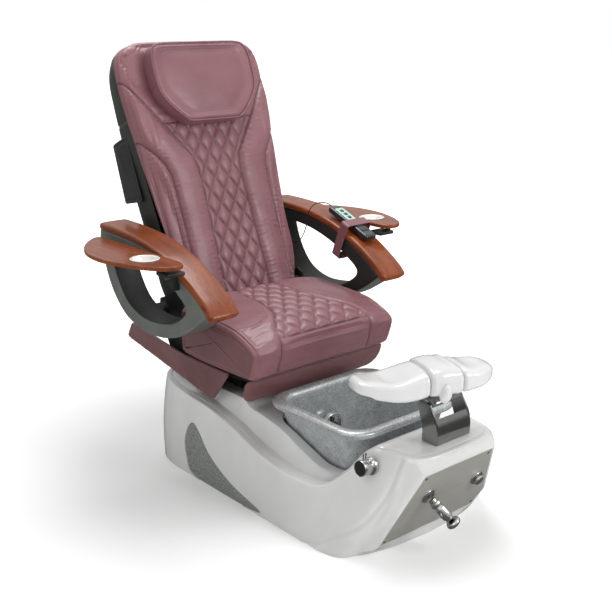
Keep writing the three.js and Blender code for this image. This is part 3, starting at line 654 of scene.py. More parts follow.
def lacquered_wood(name, stretch, turn=(0, 0, 0)):
    f = Finish(name, (144, 70, 26), 0.42, coat=0.3, coat_rough=0.14, specular=0.3)
    figure = f.noise(3.2, 5, stretch, turn, 0.62, 0.5)
    grain = f.noise(11, 5, tuple(s * 2.2 if s > 1 else s for s in stretch), turn, 0.7)
    tone = f.ramp(figure, [(0.26, (106, 48, 18)), (0.5, (132, 63, 25)), (0.76, (152, 78, 34))])
    line = f.ramp(grain, [(0.34, (150, 112, 86)), (0.5, (255, 255, 255))])
    f.set("Base Color", f.mix(0.6, tone, line, "MULTIPLY"))
    f.set("Roughness", f.ramp(grain, [(0.3, 0.42), (0.7, 0.28)]))
    f.bump(grain, 0.0001, 0.2)
    return f.material


def granite(name):
    f = Finish(name, (130, 135, 130), 0.22, coat=0.5, coat_rough=0.08)
    f.set("Base Color", f.mix(
        f.ramp(f.cells(190, output="Color"), [(0.45, 0.0), (0.72, 0.55)]),
        f.ramp(f.noise(150, 6, rough=0.75),
               [(0.33, (88, 94, 90)), (0.5, (134, 139, 134)), (0.68, (172, 176, 170))]),
        f.ramp(f.noise(420, 3), [(0.42, (70, 75, 72)), (0.6, (196, 198, 192))]),
    ))
    f.bump(f.noise(300, 4), 0.00015, 0.3)
    return f.material


def glitter(name):
    f = Finish(name, (176, 181, 182), 0.3, metal=0.45, coat=0.5, coat_rough=0.06)
    body = f.ramp(f.noise(34, 6, rough=0.72, warp=0.6),
                  [(0.28, (150, 155, 156)), (0.52, (182, 187, 188)), (0.76, (210, 213, 214))])
    # Flakes painted near-white: real glitter flakes, with their glints painted into the colour.
    flake_glints = f.ramp(f.cells(520, output="Color"), [(0.68, 0.0), (0.95, 0.8)])
    f.set("Base Color", f.mix(flake_glints, body, rgb(238, 241, 242)))
    f.set("Roughness", f.ramp(f.noise(300, 3), [(0.35, 0.2), (0.65, 0.42)]))
    f.bump(f.noise(420, 3), 0.0003, 0.35)
    f.bump(f.noise(48, 4, warp=0.8), 0.0035, 0.35)
    return f.material


LEATHER = leather("mauve_leather", (140, 94, 101), (130, 85, 92), (121, 77, 83))
LEATHER_SKIRT = leather("mauve_leather_skirt", (126, 84, 86), (116, 76, 78), (106, 68, 70), 0.44)
LEATHER_PILLOW = leather("mauve_leather_pillow", (131, 87, 94), (122, 79, 86), (114, 72, 79), 0.38)
WOOD_ARM = lacquered_wood("arm_wood", (6.5, 1, 3.5), (20, 0, 0))
WOOD_TRAY = lacquered_wood("tray_wood", (6.5, 0.9, 3))
WHITE = white_gloss("shell_white", (226, 226, 225))
FOOT_WHITE = white_gloss("footrest_white", (224, 224, 224), 0.14)
BOWL_WHITE = white_gloss("bowl_white", (242, 241, 238), 0.12)
STONE = granite("speckled_stone")
SILVER = glitter("tub_glitter")
CHROME = metal("chrome", (205, 205, 202), 0.06)
BRACKET_STEEL = metal("bracket_steel", (150, 150, 148), 0.16, (0.6, 10, 10), 70)
STEEL = metal("panel_steel", (182, 181, 174), 0.36, (0.6, 14, 14), 90, 0.00004, 0.35)
RAIL_STEEL = metal("rail_steel", (150, 150, 148), 0.34, (10, 0.5, 10), 80)
ARM_GREY = plastic("arm_grey", (104, 109, 102), 0.42, 0.1)
ARM_DARK = plastic("arm_inner", (34, 37, 35), 0.5)
BACK_BLACK = plastic("back_black", (44, 48, 45), 0.36, 0.25, 500, 0.0002)
FRAME_BLACK = plastic("frame_black", (26, 27, 28), 0.5, 0.0, 1200)
PLASTIC_BLACK = plastic("plastic_black", (30, 31, 33), 0.32, 0.3)
POCKET_BLACK = leather("pocket_black", (44, 45, 46), (34, 35, 36), (26, 27, 28), 0.5)
REMOTE_BLACK = plastic("remote_black", (32, 34, 36), 0.25, 0.5)
KEYPAD = plastic("keypad", (176, 214, 200), 0.3, 0.4, vary=0.05)
RUBBER = plastic("rubber", (24, 24, 24), 0.75, 0.0, 1600, 0.0002)

SLOTS = {
    "shell_white": WHITE, "footrest_white": FOOT_WHITE, "stone": STONE, "tub_silver": SILVER,
    "chrome": CHROME, "panel_steel": STEEL, "rail_steel": RAIL_STEEL, "frame_black": FRAME_BLACK,
    "back_black": BACK_BLACK, "pocket_black": POCKET_BLACK, "plastic_black": PLASTIC_BLACK,
    "remote_black": REMOTE_BLACK, "keypad": KEYPAD, "roller_rubber": RUBBER, "cord_rubber": RUBBER,
    "leather": LEATHER, "skirt_leather": LEATHER_SKIRT, "wood": WOOD_ARM, "arm_grey": ARM_GREY,
    "bowl_white": BOWL_WHITE,
}
node_slot = {s["node"]: s["material_slot"] for s in frame["record"]["subparts"]}
for node, obj in frame["nodes"].items():
    obj.data.materials.clear()
    obj.data.materials.append(SLOTS[node_slot[node]])
    if node == "footrest_carrier":
        obj.data.materials[0] = BRACKET_STEEL
    if node.startswith("tray_post"):
        obj.data.materials[0] = ARM_DARK
    obj.data.shade_smooth()
    weld(obj)
    soften(obj, 0.0008, 40).harden_normals = True


def mark(obj, name, rings, values):
    """Stores a value per point of a grid piece, read by a material through Finish.attribute."""
    values = np.clip(np.asarray(values, np.float32), 0, 1).reshape(rings.shape[:2])
    if outward(rings) is not rings:
        values = values[:, ::-1]
    values = values.ravel()
    obj.data.attributes.new(name, "FLOAT", "POINT").data.foreach_set("value", values)


def stands_for(obj, node, *more):
    """The piece replaces CAD nodes, which are hidden."""
    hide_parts(node, *more)
    return obj


# ------------------------------------------------------------------ handset lead
LEAD = [
    (397, 866, 908), (397, 886, 918), (386, 908, 922), (356, 922, 918), (333, 928, 898),
    (327, 934, 858), (327, 954, 804), (328, 984, 764), (331, 1010, 752), (331, 1030, 752),
]
lead_line = spline(LEAD, 90)
plug_place = local(PART, (331, 1030.5, 752), facing((0, 1, 0)))
plug = lathe_piece(
    "plug",
    [(0, 0), (3, 0), (3.4, 1), (3.4, 3), (3, 3.4), (3.6, 4), (3.6, 6), (3.2, 6.4), (4, 7), (7, 9), (8, 11),
             (8, 17), (7.4, 17.4), (7.4, 18.2), (8, 18.6), (8, 20), (7.4, 20.4), (7.4, 21.2), (8, 21.6),
             (8, 25), (7, 26), (0, 26)],
    PLASTIC_BLACK, "arm_left", plug_place, 40)
stands_for(plug, "remote_plug")
lead = tube_piece("handset_lead", lead_line, 2.0, RUBBER, "arm_left", sides=14)
stands_for(lead, "remote_cord")


# ------------------------------------------------------------------ back cushion
BACK_HALF = [(-40, 212), (-28, 240), (12, 258), (90, 286), (260, 294), (430, 300), (600, 312), (770, 326),
             (884, 324), (920, 315), (942, 302), (960, 276), (976, 230)]
SEAM_IN = [(104, -20), (104, 20), (103, 120), (100, 230), (98, 333), (95, 430), (99, 490), (110, 532),
           (150, 588),
           (190, 645), (212, 672), (250, 728), (296, 790), (338, 846)]
SEAM_OUT = [(216, -20), (216, 30), (215, 203), (216, 373), (220, 462), (234, 508), (264, 551), (300, 590),
            (326, 622)]
HEAD_SEAM_AT, HEAD_SEAM_END = 664, 205
SEAM_HEAD = [(0, HEAD_SEAM_AT), (HEAD_SEAM_END, HEAD_SEAM_AT)]
BACK_LOW, BACK_HIGH = -40, 976
QUILT_PUFF, STITCH_DEPTH, STITCH_WIDTH = 8, 1.6, 2.4
SEAM_DEPTH, SEAM_WIDTH = 3.2, 2.4


def seam_at(seam, along):
    """Where a seam line runs at a place along the cushion."""
    return np.interp(along, column(seam, 1), column(seam, 0))


def quilt(height, q1, q2, seam):
    """Relief of one quilted field: puffed diamonds between stitched lines."""
    puff = height * swell(q1, QUILT_PUFF) * swell(q2, QUILT_PUFF) * swell(seam, 7)
    return puff - STITCH_DEPTH * bell(np.minimum(q1, q2), STITCH_WIDTH)


def seam_painted_shade(seam, quilted, q1, q2):
    """Painted shade: how far the leather's colour is darkened in its seam and stitch grooves."""
    return 0.8 * bell(seam, 2.0) + 0.55 * quilted * bell(np.minimum(q1, q2), 1.6)


def back_front(w):
    """Depth of the cushion's face before any padding, along its height."""
    top = 46 * (1 - np.sqrt(np.clip(1 - np.clip((w - 928) / 48, 0, 1) ** 2, 0, 1)))
    low = 40 * (1 - np.sqrt(np.clip(1 - np.clip((6 - w) / 46, 0, 1) ** 2, 0, 1)))
    return -50 + top + low


def back_grid(rows, cols):
    w = np.linspace(BACK_LOW, BACK_HIGH, 900)
    w = spread(np.column_stack([back_front(w), w]), rows)[:, 1]
    half = hermite(*zip(*BACK_HALF), w)
    a = np.linspace(0, 2 * math.pi, 1441)
    ca, sa = np.cos(a), np.sin(a)
    rings = []
    for height, h in zip(w, half):
        front = back_front(np.array(height))
        depth, mid = (41 - front) / 2, (41 + front) / 2
        y = mid - depth * np.sign(sa) * np.abs(sa) ** 0.62
        x = h * np.sign(ca) * np.abs(ca) ** 0.25 * (1 - 0.075 * ease(y, -4, 10))
        line = np.column_stack([x, y])
        heavy = np.where((y[:-1] + y[1:]) / 2 < mid + 14, 1.0, 0.22)
        ring = spread(line, cols, True, heavy)
        rings.append(np.column_stack([ring, np.full(cols, height)]))
    return np.array(rings)


def make_back():
    rows, cols = ((330, 300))
    coarse = back_grid(66, 84)
    flat = coarse.reshape(-1, 3)
    ax = np.abs(flat[:, 0])
    plane = np.column_stack([ax, flat[:, 2]])
    held = np.minimum.reduce([distance_to(s, plane) for s in (SEAM_IN, SEAM_OUT, SEAM_HEAD)])
    pin = np.where(held < 9, 1.0, 0.0)
    pin[(ax < seam_at(SEAM_IN, flat[:, 2])) & (flat[:, 2] < HEAD_SEAM_AT)] = 0.9
    pin[flat[:, 1] > 20] = 1
    pin[(flat[:, 2] < 0) | (flat[:, 2] > 955)] = 1
    moved = inflate(coarse, pin, 14)
    base = back_grid(rows, cols)
    rings = base + refine(moved, rows, cols)
    p, n = rings.reshape(-1, 3), grid_normals(base).reshape(-1, 3)
    ax, w = np.abs(p[:, 0]), p[:, 2]
    plane = np.column_stack([ax, w])
    seam_x = seam_at(SEAM_IN, w)
    quilted = (ax < seam_x) & (w < HEAD_SEAM_AT) & ~((w > 645) & (ax > HEAD_SEAM_END))
    outer = (ax > seam_at(SEAM_OUT, w)) & (w < SEAM_OUT[-1][1])
    head = (w >= HEAD_SEAM_AT) & (ax < seam_x)
    roll = ~(quilted | outer | head)
    d = np.minimum.reduce([distance_to(s, plane) for s in (SEAM_IN, SEAM_OUT, SEAM_HEAD)])
    q1, q2 = lattice(p[:, 0], w, 63, 98, 31.5, 632)
    rise = np.zeros(len(p))
    for field, relief in (
        (quilted, quilt(9.5, q1, q2, d)),
        (roll, 21 * swell(d, 17)),
        (outer, 13 * swell(d, 15)),
        (head, 10 * swell(d, 18)),
    ):
        rise[field] = relief[field]
    gather = drift(np.column_stack([p[:, 0] * 0.25, w]), 19, 5) * np.exp(-d / 30) * swell(d, 4)
    rise += np.where(roll | outer, 1.5 * gather, 0)
    rise += 0.6 * drift(p, 95, 8) * ~quilted
    half = hermite(*zip(*BACK_HALF), w)
    rise *= 1 - 0.8 * ease(ax, half - 30, half - 6)
    rise -= SEAM_DEPTH * bell(d, SEAM_WIDTH)
    rise *= 1 - ease(p[:, 1], -30, -6)
    rise += 1.6 * bell(p[:, 1] + 6, 3.4) * (p[:, 1] > -20)
    rise *= 1 - ease(-w, 8, 38)
    rings = (p + n * rise[:, None]).reshape(rings.shape)
    cushion = grid_piece("back_cushion_leather", rings, LEATHER, "back", BACK)
    # Painted shade in the seam and stitch grooves, stored for the leather's colour.
    mark(cushion, "seam", rings, seam_painted_shade(d, quilted, q1, q2))
    stands_for(cushion, "back_cushion")


make_back()


# ------------------------------------------------------------------ headrest pillow
PILLOW = [(0, 648), (60, 648), (104, 649), (122, 654), (150, 676), (192, 720), (218, 762), (226, 800),
          (228, 850),
          (226, 890), (219, 920), (204, 940), (176, 948), (100, 950), (0, 950)]
PILLOW_THICK, PILLOW_SINK, PILLOW_FACE = 42, 78, -108


def pillow_line(count):
    """The pillow's whole outline, mirrored from its right half."""
    right = np.array(PILLOW, float)
    return spline(np.vstack([right, right[-2:0:-1] * [-1, 1]]), count, True)


def make_pillow():
    cols, inset, rim = ((200, 46, 15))

    def form(count, inset_rows, rim_rows):
        """The pillow's points; its back is drawn deeper, so that it sinks into the cushion."""
        g = pad_rings(pillow_line(count), PILLOW_THICK, 10, inset_rows, rim_rows)
        a, b, c, r = (g[..., k] for k in range(4))
        front = c > -1
        dome = np.where(front, 15 * (1 - r**3), 0)
        depth = PILLOW_FACE - dome - c * PILLOW_SINK / PILLOW_THICK
        return np.stack([a, depth, b], -1), c, r

    coarse, c, r = form(64, 16, 7)
    pin = np.where((c < -20) | ((c > -1) & (r > 0.97)), 1.0, 0.0)
    moved = inflate(coarse, pin, 12)
    rings, c, r = form(cols, inset, rim)
    rings = rings + refine(moved, *rings.shape[:2])
    p = rings.reshape(-1, 3)
    c, r = c.ravel(), r.ravel()
    front = np.where(c > -1, 1.0, 0.0)
    low = np.exp(-np.clip(p[:, 2] - 652, 0, 999) / 46)
    folds = drift(np.column_stack([p[:, 0], p[:, 2] * 0.22]), 34, 3)
    rise = front * (3.0 * folds * low + 1.1 * drift(p, 120, 11)) * (1 - r**10)
    p[:, 1] -= rise
    pillow = grid_piece("headrest_pillow_leather", rings, LEATHER_PILLOW, "back", BACK)
    stands_for(pillow, "headrest_pillow")
    edge = pillow_line(240)
    middle = edge.mean(0)
    edge = middle + (edge - middle) * 0.985
    line = np.column_stack([edge[:, 0], np.full(len(edge), -107.0), edge[:, 1]])
    tube_piece("headrest_piping", line, 3.1, LEATHER_PILLOW, "back", BACK, 10, True)


make_pillow()


# ------------------------------------------------------------------ seat cushion
SEAT_LOOP = [(500, 453), (486, 456), (473, 478), (460, 512), (452, 546), (454, 570), (463, 590), (479, 602),
             (500, 611), (550, 629), (600, 638), (700, 645), (800, 649), (858, 650), (877, 642), (882, 622),
             (882, 490), (878, 462), (862, 453)]
SEAT_SEAM = [(208, 463), (196, 500), (165, 545), (135, 590), (115, 650), (104, 720), (98, 800), (94, 884)]


SEAT_HALF, SEAT_CORNER, SEAT_CROWN = 325, 24.0, 26


def seat_top(y):
    return hermite(*zip(*SEAT_LOOP[5:14]), y)


def seat_sag(x):
    """How far the seat's upper side drops towards its right and left edges."""
    return SEAT_CROWN * (np.abs(x) / SEAT_HALF) ** 3.5


def seat_grid(rows, cols):
    base = spline(SEAT_LOOP, 1600, True)
    base = np.vstack([base, base[:1]])
    middle = (base[:-1] + base[1:]) / 2
    heavy = np.where((middle[:, 1] < 470) & (middle[:, 0] > 500), 0.15, 1.0)
    heavy *= np.where(middle[:, 0] > 876, 0.3, 1.0)
    loop = spread(base, cols, True, heavy)
    centre = np.array([670.0, 550.0])
    normal = loop_normals(loop, centre)
    cap = max(5, rows // 11)
    straight = SEAT_HALF - SEAT_CORNER
    end = [(SEAT_HALF + 1.5, SEAT_CORNER, s) for s in np.linspace(0.06, 1, cap + 1)[:-1]]
    for t in np.linspace(0, math.pi / 2, cap)[::-1][:-1]:
        end.append((straight + SEAT_CORNER * math.sin(t), SEAT_CORNER * (1 - math.cos(t)), 1))
    stations = [(-x, inset, share) for x, inset, share in end]
    stations += [(x, 0.0, 1) for x in np.linspace(-straight, straight, rows - 4 * cap)]
    stations += end[::-1]
    rings = []
    for x, inset, s in stations:
        yz = loop - normal * inset
        upper = ease(loop[:, 1], 540, 600)
        yz[:, 1] -= upper * seat_sag(x)
        yz = centre + (yz - centre) * s
        rings.append(np.column_stack([np.full(cols, x + math.copysign(4 * (1 - s) ** 0.7, x)), yz]))
    return np.array(rings)


def make_seat():
    rows, cols = ((300, 300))
    line = np.array([(x, y, float(seat_top(y)) - seat_sag(x)) for x, y in spline(SEAT_SEAM, 40)])
    front_seam = np.array([(0, 463, 590), (100, 463, 590), (208, 463, 589)])
    face_seam = np.array([(208, 463, 590), (210, 454, 568), (210, 452, 546), (211, 460, 512),
                          (212, 473, 478), (212, 490, 453)])

    def to_seams(p):
        m = np.column_stack([np.abs(p[:, 0]), p[:, 1:]])
        return np.minimum.reduce([distance_to(seam, m) for seam in (line, front_seam, face_seam)])

    coarse = seat_grid(84, 84)
    flat = coarse.reshape(-1, 3)
    pin = np.where(to_seams(flat) < 10, 1.0, 0.0)
    pin[(np.abs(flat[:, 0]) < seam_at(SEAT_SEAM, flat[:, 1])) & (flat[:, 2] > 588)] = 0.9
    pin[(flat[:, 2] < 480) | (flat[:, 1] > 860) | (np.abs(flat[:, 0]) > 312)] = 1
    moved = inflate(coarse, pin, 10) * (1 - ease(np.abs(coarse[..., :1]), 282, 304))
    base = seat_grid(rows, cols)
    rings = base + refine(moved, *base.shape[:2])
    p, n = rings.reshape(-1, 3), grid_normals(base).reshape(-1, 3)
    d = to_seams(base.reshape(-1, 3))
    ax, y, z = np.abs(p[:, 0]), p[:, 1], p[:, 2]
    quilted = (ax < seam_at(SEAT_SEAM, y)) & (z > 589) & (y > 463)
    side = ax > 322
    q1, q2 = lattice(p[:, 0], y, 70, 90, 0, 520)
    rise = np.where(side, 0, 9.0 * swell(d, 18))
    rise[quilted] = quilt(8.5, q1, q2, d)[quilted]
    crease = drift(np.column_stack([p[:, 0] * 0.5, y, z * 0.4]), 30, 21)
    rise += np.where(quilted | side, 0, 0.7 * crease * np.exp(-d / 34) + 0.5 * drift(p, 130, 17))
    rise += np.where(side, 1.0 * drift(p, 120, 9), 0)
    rise -= SEAM_DEPTH * bell(d, SEAM_WIDTH) * ~side
    rise -= 2.0 * bell(ax - 313.5, 1.8) * (z > 500)
    rise *= 1 - ease(-z, -474, -456)
    rings = (p + n * rise[:, None]).reshape(rings.shape)
    cushion = grid_piece("seat_cushion_leather", rings, [LEATHER, LEATHER_SKIRT], "carriage")
    sideways = np.abs(face_vectors(cushion.data, "normal")[:, 0]) > 0.86
    cushion.data.polygons.foreach_set("material_index", sideways.astype(np.int32))
    # Painted shade in the seam and stitch grooves, stored for the leather's colour.
    mark(cushion, "seam", rings, seam_painted_shade(np.where(side, np.inf, d), quilted, q1, q2))
    stands_for(cushion, "seat_cushion")
    for name, s in SIDES:
        x = s * 318.5
        col = np.argmin(np.abs(base[:, 0, 0] - x))
        loop = base[col][:, 1:]
        keep = loop[(loop[:, 1] > 466) & (loop[:, 0] < 872)]
        order = keep[np.argsort(np.arctan2(keep[:, 1] - 500, keep[:, 0] - 700))[::-1]]
        path = spread(order, 150)
        kink = 3.0 * bell(path[:, 0] - 560, 22) * (path[:, 1] > 560)
        points = np.column_stack([np.full(150, x), path[:, 0], path[:, 1] + kink])
        tube_piece("seat_piping_" + name, points, 3.6, LEATHER, "carriage", sides=10)


make_seat()


# ------------------------------------------------------------------ skirts and side pocket
def panel_piece(name, outline, thick, edge, shape, material, body, node, place=PART, count=260):
    """Thin upholstered panel: shape(a, b, c, r) gives its points from the flat pattern."""
    count = count
    g = pad_rings(spline(outline, count, True), thick, edge, 46, 9)
    a, b, c, r = (g[..., k] for k in range(4))
    obj = grid_piece(name, shape(a, b, c, r), material, body, place)
    stands_for(obj, node)


def rounded_outline(points, radius):
    line = rounded(points, radius, 6, True)
    return spread(np.vstack([line, line[:1]]), 64, True)


def waves(flat, shape, tall, size, seed, fine, fine_size, fine_seed):
    """Two layers of drift on a flat pattern, a slow one and a fine one."""
    slow = tall * drift(flat[0], size, seed)
    return (slow + fine * drift(flat[1], fine_size, fine_seed)).reshape(shape)


def hem(r, reach, inset, width):
    """A stitched line that follows the edge of a flat pattern; r is 1 at the edge."""
    return bell((1 - r) * reach - inset, width)


SKIRT_LINE = [(500, 448), (503, 440), (507, 426), (513, 410), (520, 394), (529, 374), (538, 355)]
skirt_path = spline(SKIRT_LINE, 200)
skirt_length = lengths_along(skirt_path)


def front_skirt_shape(a, b, c, r):
    """a runs across, b down the panel; the panel follows the line under the seat and waves a little."""
    y = np.interp(b, skirt_length, skirt_path[:, 0])
    z = np.interp(b, skirt_length, skirt_path[:, 1])
    lean = np.interp(b, [0, skirt_length[-1]], [0.12, 0.42])
    flat = np.column_stack([a.ravel(), b.ravel()])
    down = np.clip(b / skirt_length[-1], 0, 1)
    wave = waves((flat * [1, 0.35], flat), a.shape, 3.2, 210, 4, 1.0, 60, 6) * down
    seam = 1.6 * bell(b - 12, 2.2) + 1.5 * hem(r, 150, 9, 2.0)
    out = c - 0.2 * np.abs(c) - seam * (c > -1) + wave + 1.5 * (1 - r**6) * (c > -1)
    return np.stack([a, y - out * np.cos(lean) - 1.5, z - out * np.sin(lean)], -1)


SKIRT_CUT = 34
skirt_half = [(SEAT_HALF - SKIRT_CUT, skirt_length[-1]), (SEAT_HALF, skirt_length[-1] - SKIRT_CUT),
              (SEAT_HALF, 0)]
skirt_outline = [(-x, down) for x, down in skirt_half[::-1]] + skirt_half
panel_piece("front_skirt_leather", rounded_outline(skirt_outline, 16), 8, 4, front_skirt_shape,
            LEATHER_SKIRT, "carriage", "front_skirt")

FLAP = [(612, 446), (706, 328), (722, 322), (1270, 421), (1274, 432), (1240, 488), (915, 448)]
for side, s in SIDES:
    def side_skirt_shape(a, b, c, r, s=s):
        flat = np.column_stack([a.ravel(), b.ravel()])
        low = ease(-b, -440, -340)
        wave = waves((flat * [0.6, 1], flat), a.shape, 2.2, 170, 12, 0.7, 55, 14) * (0.3 + low)
        seam = 1.5 * hem(r, 170, 9, 2.2)
        out = 321 + c - seam * (c > -1) + wave + 1.2 * (1 - r**6) * (c > -1)
        return np.stack([s * out, a, b], -1)

    panel_piece("side_skirt_leather_" + side, rounded_outline(FLAP, 10), 13, 5, side_skirt_shape,
                LEATHER_SKIRT, "carriage", "side_skirt_" + side)

POCKET = [(48, 400), (170, 420), (161, 646), (54, 651)]


def pocket_shape(a, b, c, r):
    flat = np.column_stack([a.ravel(), b.ravel()])
    sag = 5.5 * ease(b, 430, 640) * np.sin(np.clip((a - 48) / 118, 0, 1) * math.pi)
    fold = 1.6 * drift(flat * [1, 0.3], 52, 33).reshape(a.shape) * ease(b, 470, 640)
    seam = 1.2 * bell(b - 632, 2.0) + 1.2 * hem(r, 60, 5, 1.6)
    out = (c > -1) * (sag + fold - seam)
    return np.stack([-(308.5 + c + out), a, b + 0 * out], -1)


panel_piece("side_pocket_fabric", rounded_outline(POCKET, 9), 4.5, 2.2, pocket_shape,
            POCKET_BLACK, "back", "side_pocket", BACK, 220)


# ------------------------------------------------------------------ back shell and its frame
SHELL_ROWS = [(-34, 240, 76), (20, 268, 96), (200, 282, 104), (440, 298, 98), (650, 302, 90), (780, 304, 82),
              (900, 294, 68), (940, 270, 58), (956, 246, 52)]


def make_back_shell():
    rows, cols = ((150, 160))
    low, high = SHELL_ROWS[0][0], SHELL_ROWS[-1][0]
    w = np.linspace(low, high, rows)
    half = hermite(column(SHELL_ROWS, 0), column(SHELL_ROWS, 1), w)
    lip = np.maximum(hermite(*zip(*BACK_HALF), w) - 5, half)
    deep = hermite(column(SHELL_ROWS, 0), column(SHELL_ROWS, 2), w)
    ends = np.minimum(w - low, high - w)
    curl = 20 * (1 - np.sqrt(np.clip(1 - (1 - np.clip(ends / 20, 0, 1)) ** 2, 0, 1)))
    rings = []
    for height, h, rim, d, c in zip(w, half, lip, deep, curl):
        h, rim, d = h - c * 0.6, rim - c * 0.6, max(d - c, 14)
        ribs = 3.0 * (bell(height - 240, 4) + bell(height - 700, 4))
        side = [(rim, 2), (rim - 2, 30), (h, 42 + d * 0.62), (h - 26, 42 + d)]
        path = rounded([(-x, y) for x, y in side] + side[::-1], 30, 8)
        line = spread(path, cols)
        middle = np.array([0, 42 + d / 2])
        line = middle + (line - middle) * (1 - ribs / 150)
        rings.append(np.column_stack([line, np.full(cols, height)]))
    rings = np.array(rings)
    faces = grid_faces(rows, cols, False)
    obj = mesh_piece("back_shell_moulding", rings.reshape(-1, 3), faces, BACK_BLACK, "back", BACK)
    solid = obj.modifiers.new("wall", "SOLIDIFY")
    solid.thickness, solid.offset = 0.0045, 0
    soften(obj, 0.0012)
    stands_for(obj, "back_shell")
    ear = [(-14, -26), (14, -26), (64, 0), (110, 44), (110, 96), (44, 96), (44, 14), (-14, 12)]
    parts = []
    for side, s in SIDES:
        parts.append(plate_piece("ear", rounded(ear, 12, 5, True), 8, 1, FRAME_BLACK, None,
                                 along_x(s * 270, BACK)))
        apply_modifiers(parts[-1])
        rod = [(0, 0), (6, 0), (6, 690), (0, 690)]
        parts.append(lathe_piece("rod", rod, FRAME_BLACK, None, local(BACK, (s * 120, 86, 120)), 24))
    frame_piece = joined("back_shell_frame", parts)
    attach(frame_piece, "back")


make_back_shell()


# ------------------------------------------------------------------ arms and trays
TOP_LINE = [(548, 694), (612, 742), (700, 794), (810, 838), (950, 868), (1100, 880), (1214, 882)]
RING_LOWER = [(1218, 842), (1196, 760), (1146, 662), (1064, 586), (950, 552), (840, 552), (728, 580),
              (628, 636)]
HOLE = [(668, 690), (740, 630), (846, 604), (952, 604), (1044, 640), (1104, 710), (1138, 790), (1144, 832),
        (1080, 834), (950, 822), (822, 786), (724, 738)]
TRAY_OUTLINE = [(463, 664), (476, 634), (510, 622), (548, 640), (584, 690), (616, 762), (637, 838),
                (643, 912), (633, 985),
                (608, 1050), (572, 1108), (528, 1156), (490, 1184), (468, 1180), (462, 1140), (462, 1000),
                (462, 860), (462, 740)]
CUP = (531, 778, 45)
ARM_X = 396.5


def ring_section(half, low, high, radius, steps, count):
    """Rounded rectangle of an even number of points, from its lower left corner."""
    line = rounded([(-half, low), (half, low), (half, high), (-half, high)], radius, steps, True)
    return spread(np.vstack([line, line[:2]]), count, True)


def arm_top(side, s):
    """Wooden armrest: a rounded section swept along the top line, its ends rounded off."""
    path = spline([(531, 673), *TOP_LINE], 230)
    tangent = np.gradient(path, axis=0)
    tangent /= np.linalg.norm(tangent, axis=1, keepdims=True)
    up = np.column_stack([-tangent[:, 1], tangent[:, 0]])
    reach = lengths_along(path)
    ends = np.minimum(reach, reach[-1] - reach)
    rings = []
    for p, u, e in zip(path, up, ends):
        t = np.clip(e / 13, 0, 1)
        shrink = 11 * (1 - math.sqrt(max(0.0, 1 - (1 - t) ** 2)))
        half = 58.5 - 2.2 * shrink * (e < 13)
        low, high = 0.4 + shrink * 0.9, 25.4 + 6 * math.exp(-((p[1] - 675) / 90) ** 2) - shrink
        section = ring_section(half, low, high, 10.5, 6, 56)
        crown = 1.6 * (1 - (section[:, 0] / 60) ** 2) * (section[:, 1] > (low + high) / 2)
        x = s * ARM_X + section[:, 0]
        lift = section[:, 1] + crown
        rings.append(np.column_stack([x, p[0] + u[0] * lift, p[1] + u[1] * lift]))
    obj = grid_piece("arm_top_wood_" + side, np.array(rings), WOOD_ARM, "arm_" + side)
    return stands_for(obj, "arm_top_" + side)


def make_arm(side, s):
    body = "arm_" + side
    lower = spline([TOP_LINE[-1], *RING_LOWER, TOP_LINE[0]], 120)[1:-1]
    outline = np.vstack([spline(TOP_LINE, 70), lower])
    ring = plate_piece("arm_ring_moulding_" + side, outline, 107, 9, [ARM_GREY, ARM_DARK], body,
                       along_x(s * ARM_X), [spline(HOLE, 140, True)], 5)
    across = face_vectors(ring.data, "normal")[:, 0]
    hole = world([(0, y, z) for y, z in spline(HOLE, 420, True)])
    gap = face_vectors(ring.data, "center")[:, None, 1:] - hole[None, :, 1:]
    inside = (np.linalg.norm(gap, axis=2).min(axis=1) < 0.008) & (np.abs(across) < 0.5)
    dark = (s * across < -0.3) | inside
    ring.data.polygons.foreach_set("material_index", dark.astype(np.int32))
    stands_for(ring, "arm_ring_" + side)
    arm_top(side, s)
    edge = spline(TRAY_OUTLINE, 240, True) * [s, 1]
    a = angles(96)
    hole = np.column_stack([s * CUP[0] + CUP[2] * np.cos(a), CUP[1] + CUP[2] * np.sin(a)])
    tray = plate_piece("tray_wood_" + side, edge, 15, 4.2, WOOD_TRAY, "tray_board_" + side,
                       local(PART, (0, 0, 854.5)), [hole], 5)
    stands_for(tray, "tray_" + side)
    bowl = [(0, -26), (24, -26), (30, -25), (33, -22), (41, -10), (43.6, -3), (44, 0.4), (48, 0.4),
            (50.6, 0.8), (51, 1.8), (49.6, 3),
            (45, 3.6), (41.4, 2.6), (39, -1), (36, -9), (31, -18), (24, -21), (0, -22)]
    dish = lathe_piece("bowl_ceramic_" + side, rounded(bowl, 2, 3), BOWL_WHITE, "bowl_" + side,
                       local(PART, (s * CUP[0], CUP[1], 862)), 96, None)
    stands_for(dish, "bowl_insert_" + side)


for side, s in SIDES:
    make_arm(side, s)


# ------------------------------------------------------------------ handset and strap
def box_rings(rows, corner, count=72):
    """Rings along Y of rounded rectangles: rows of (y, half width, low z, high z)."""
    rings = []
    for y, half, low, high in rows:
        radius = min(corner, half * 0.95, (high - low) / 2.05)
        ring = rounded_ring(0, (low + high) / 2, half, (high - low) / 2, radius, count)
        rings.append(np.column_stack([ring[:, 0], np.full(count, y), ring[:, 1]]))
    return np.array(rings)


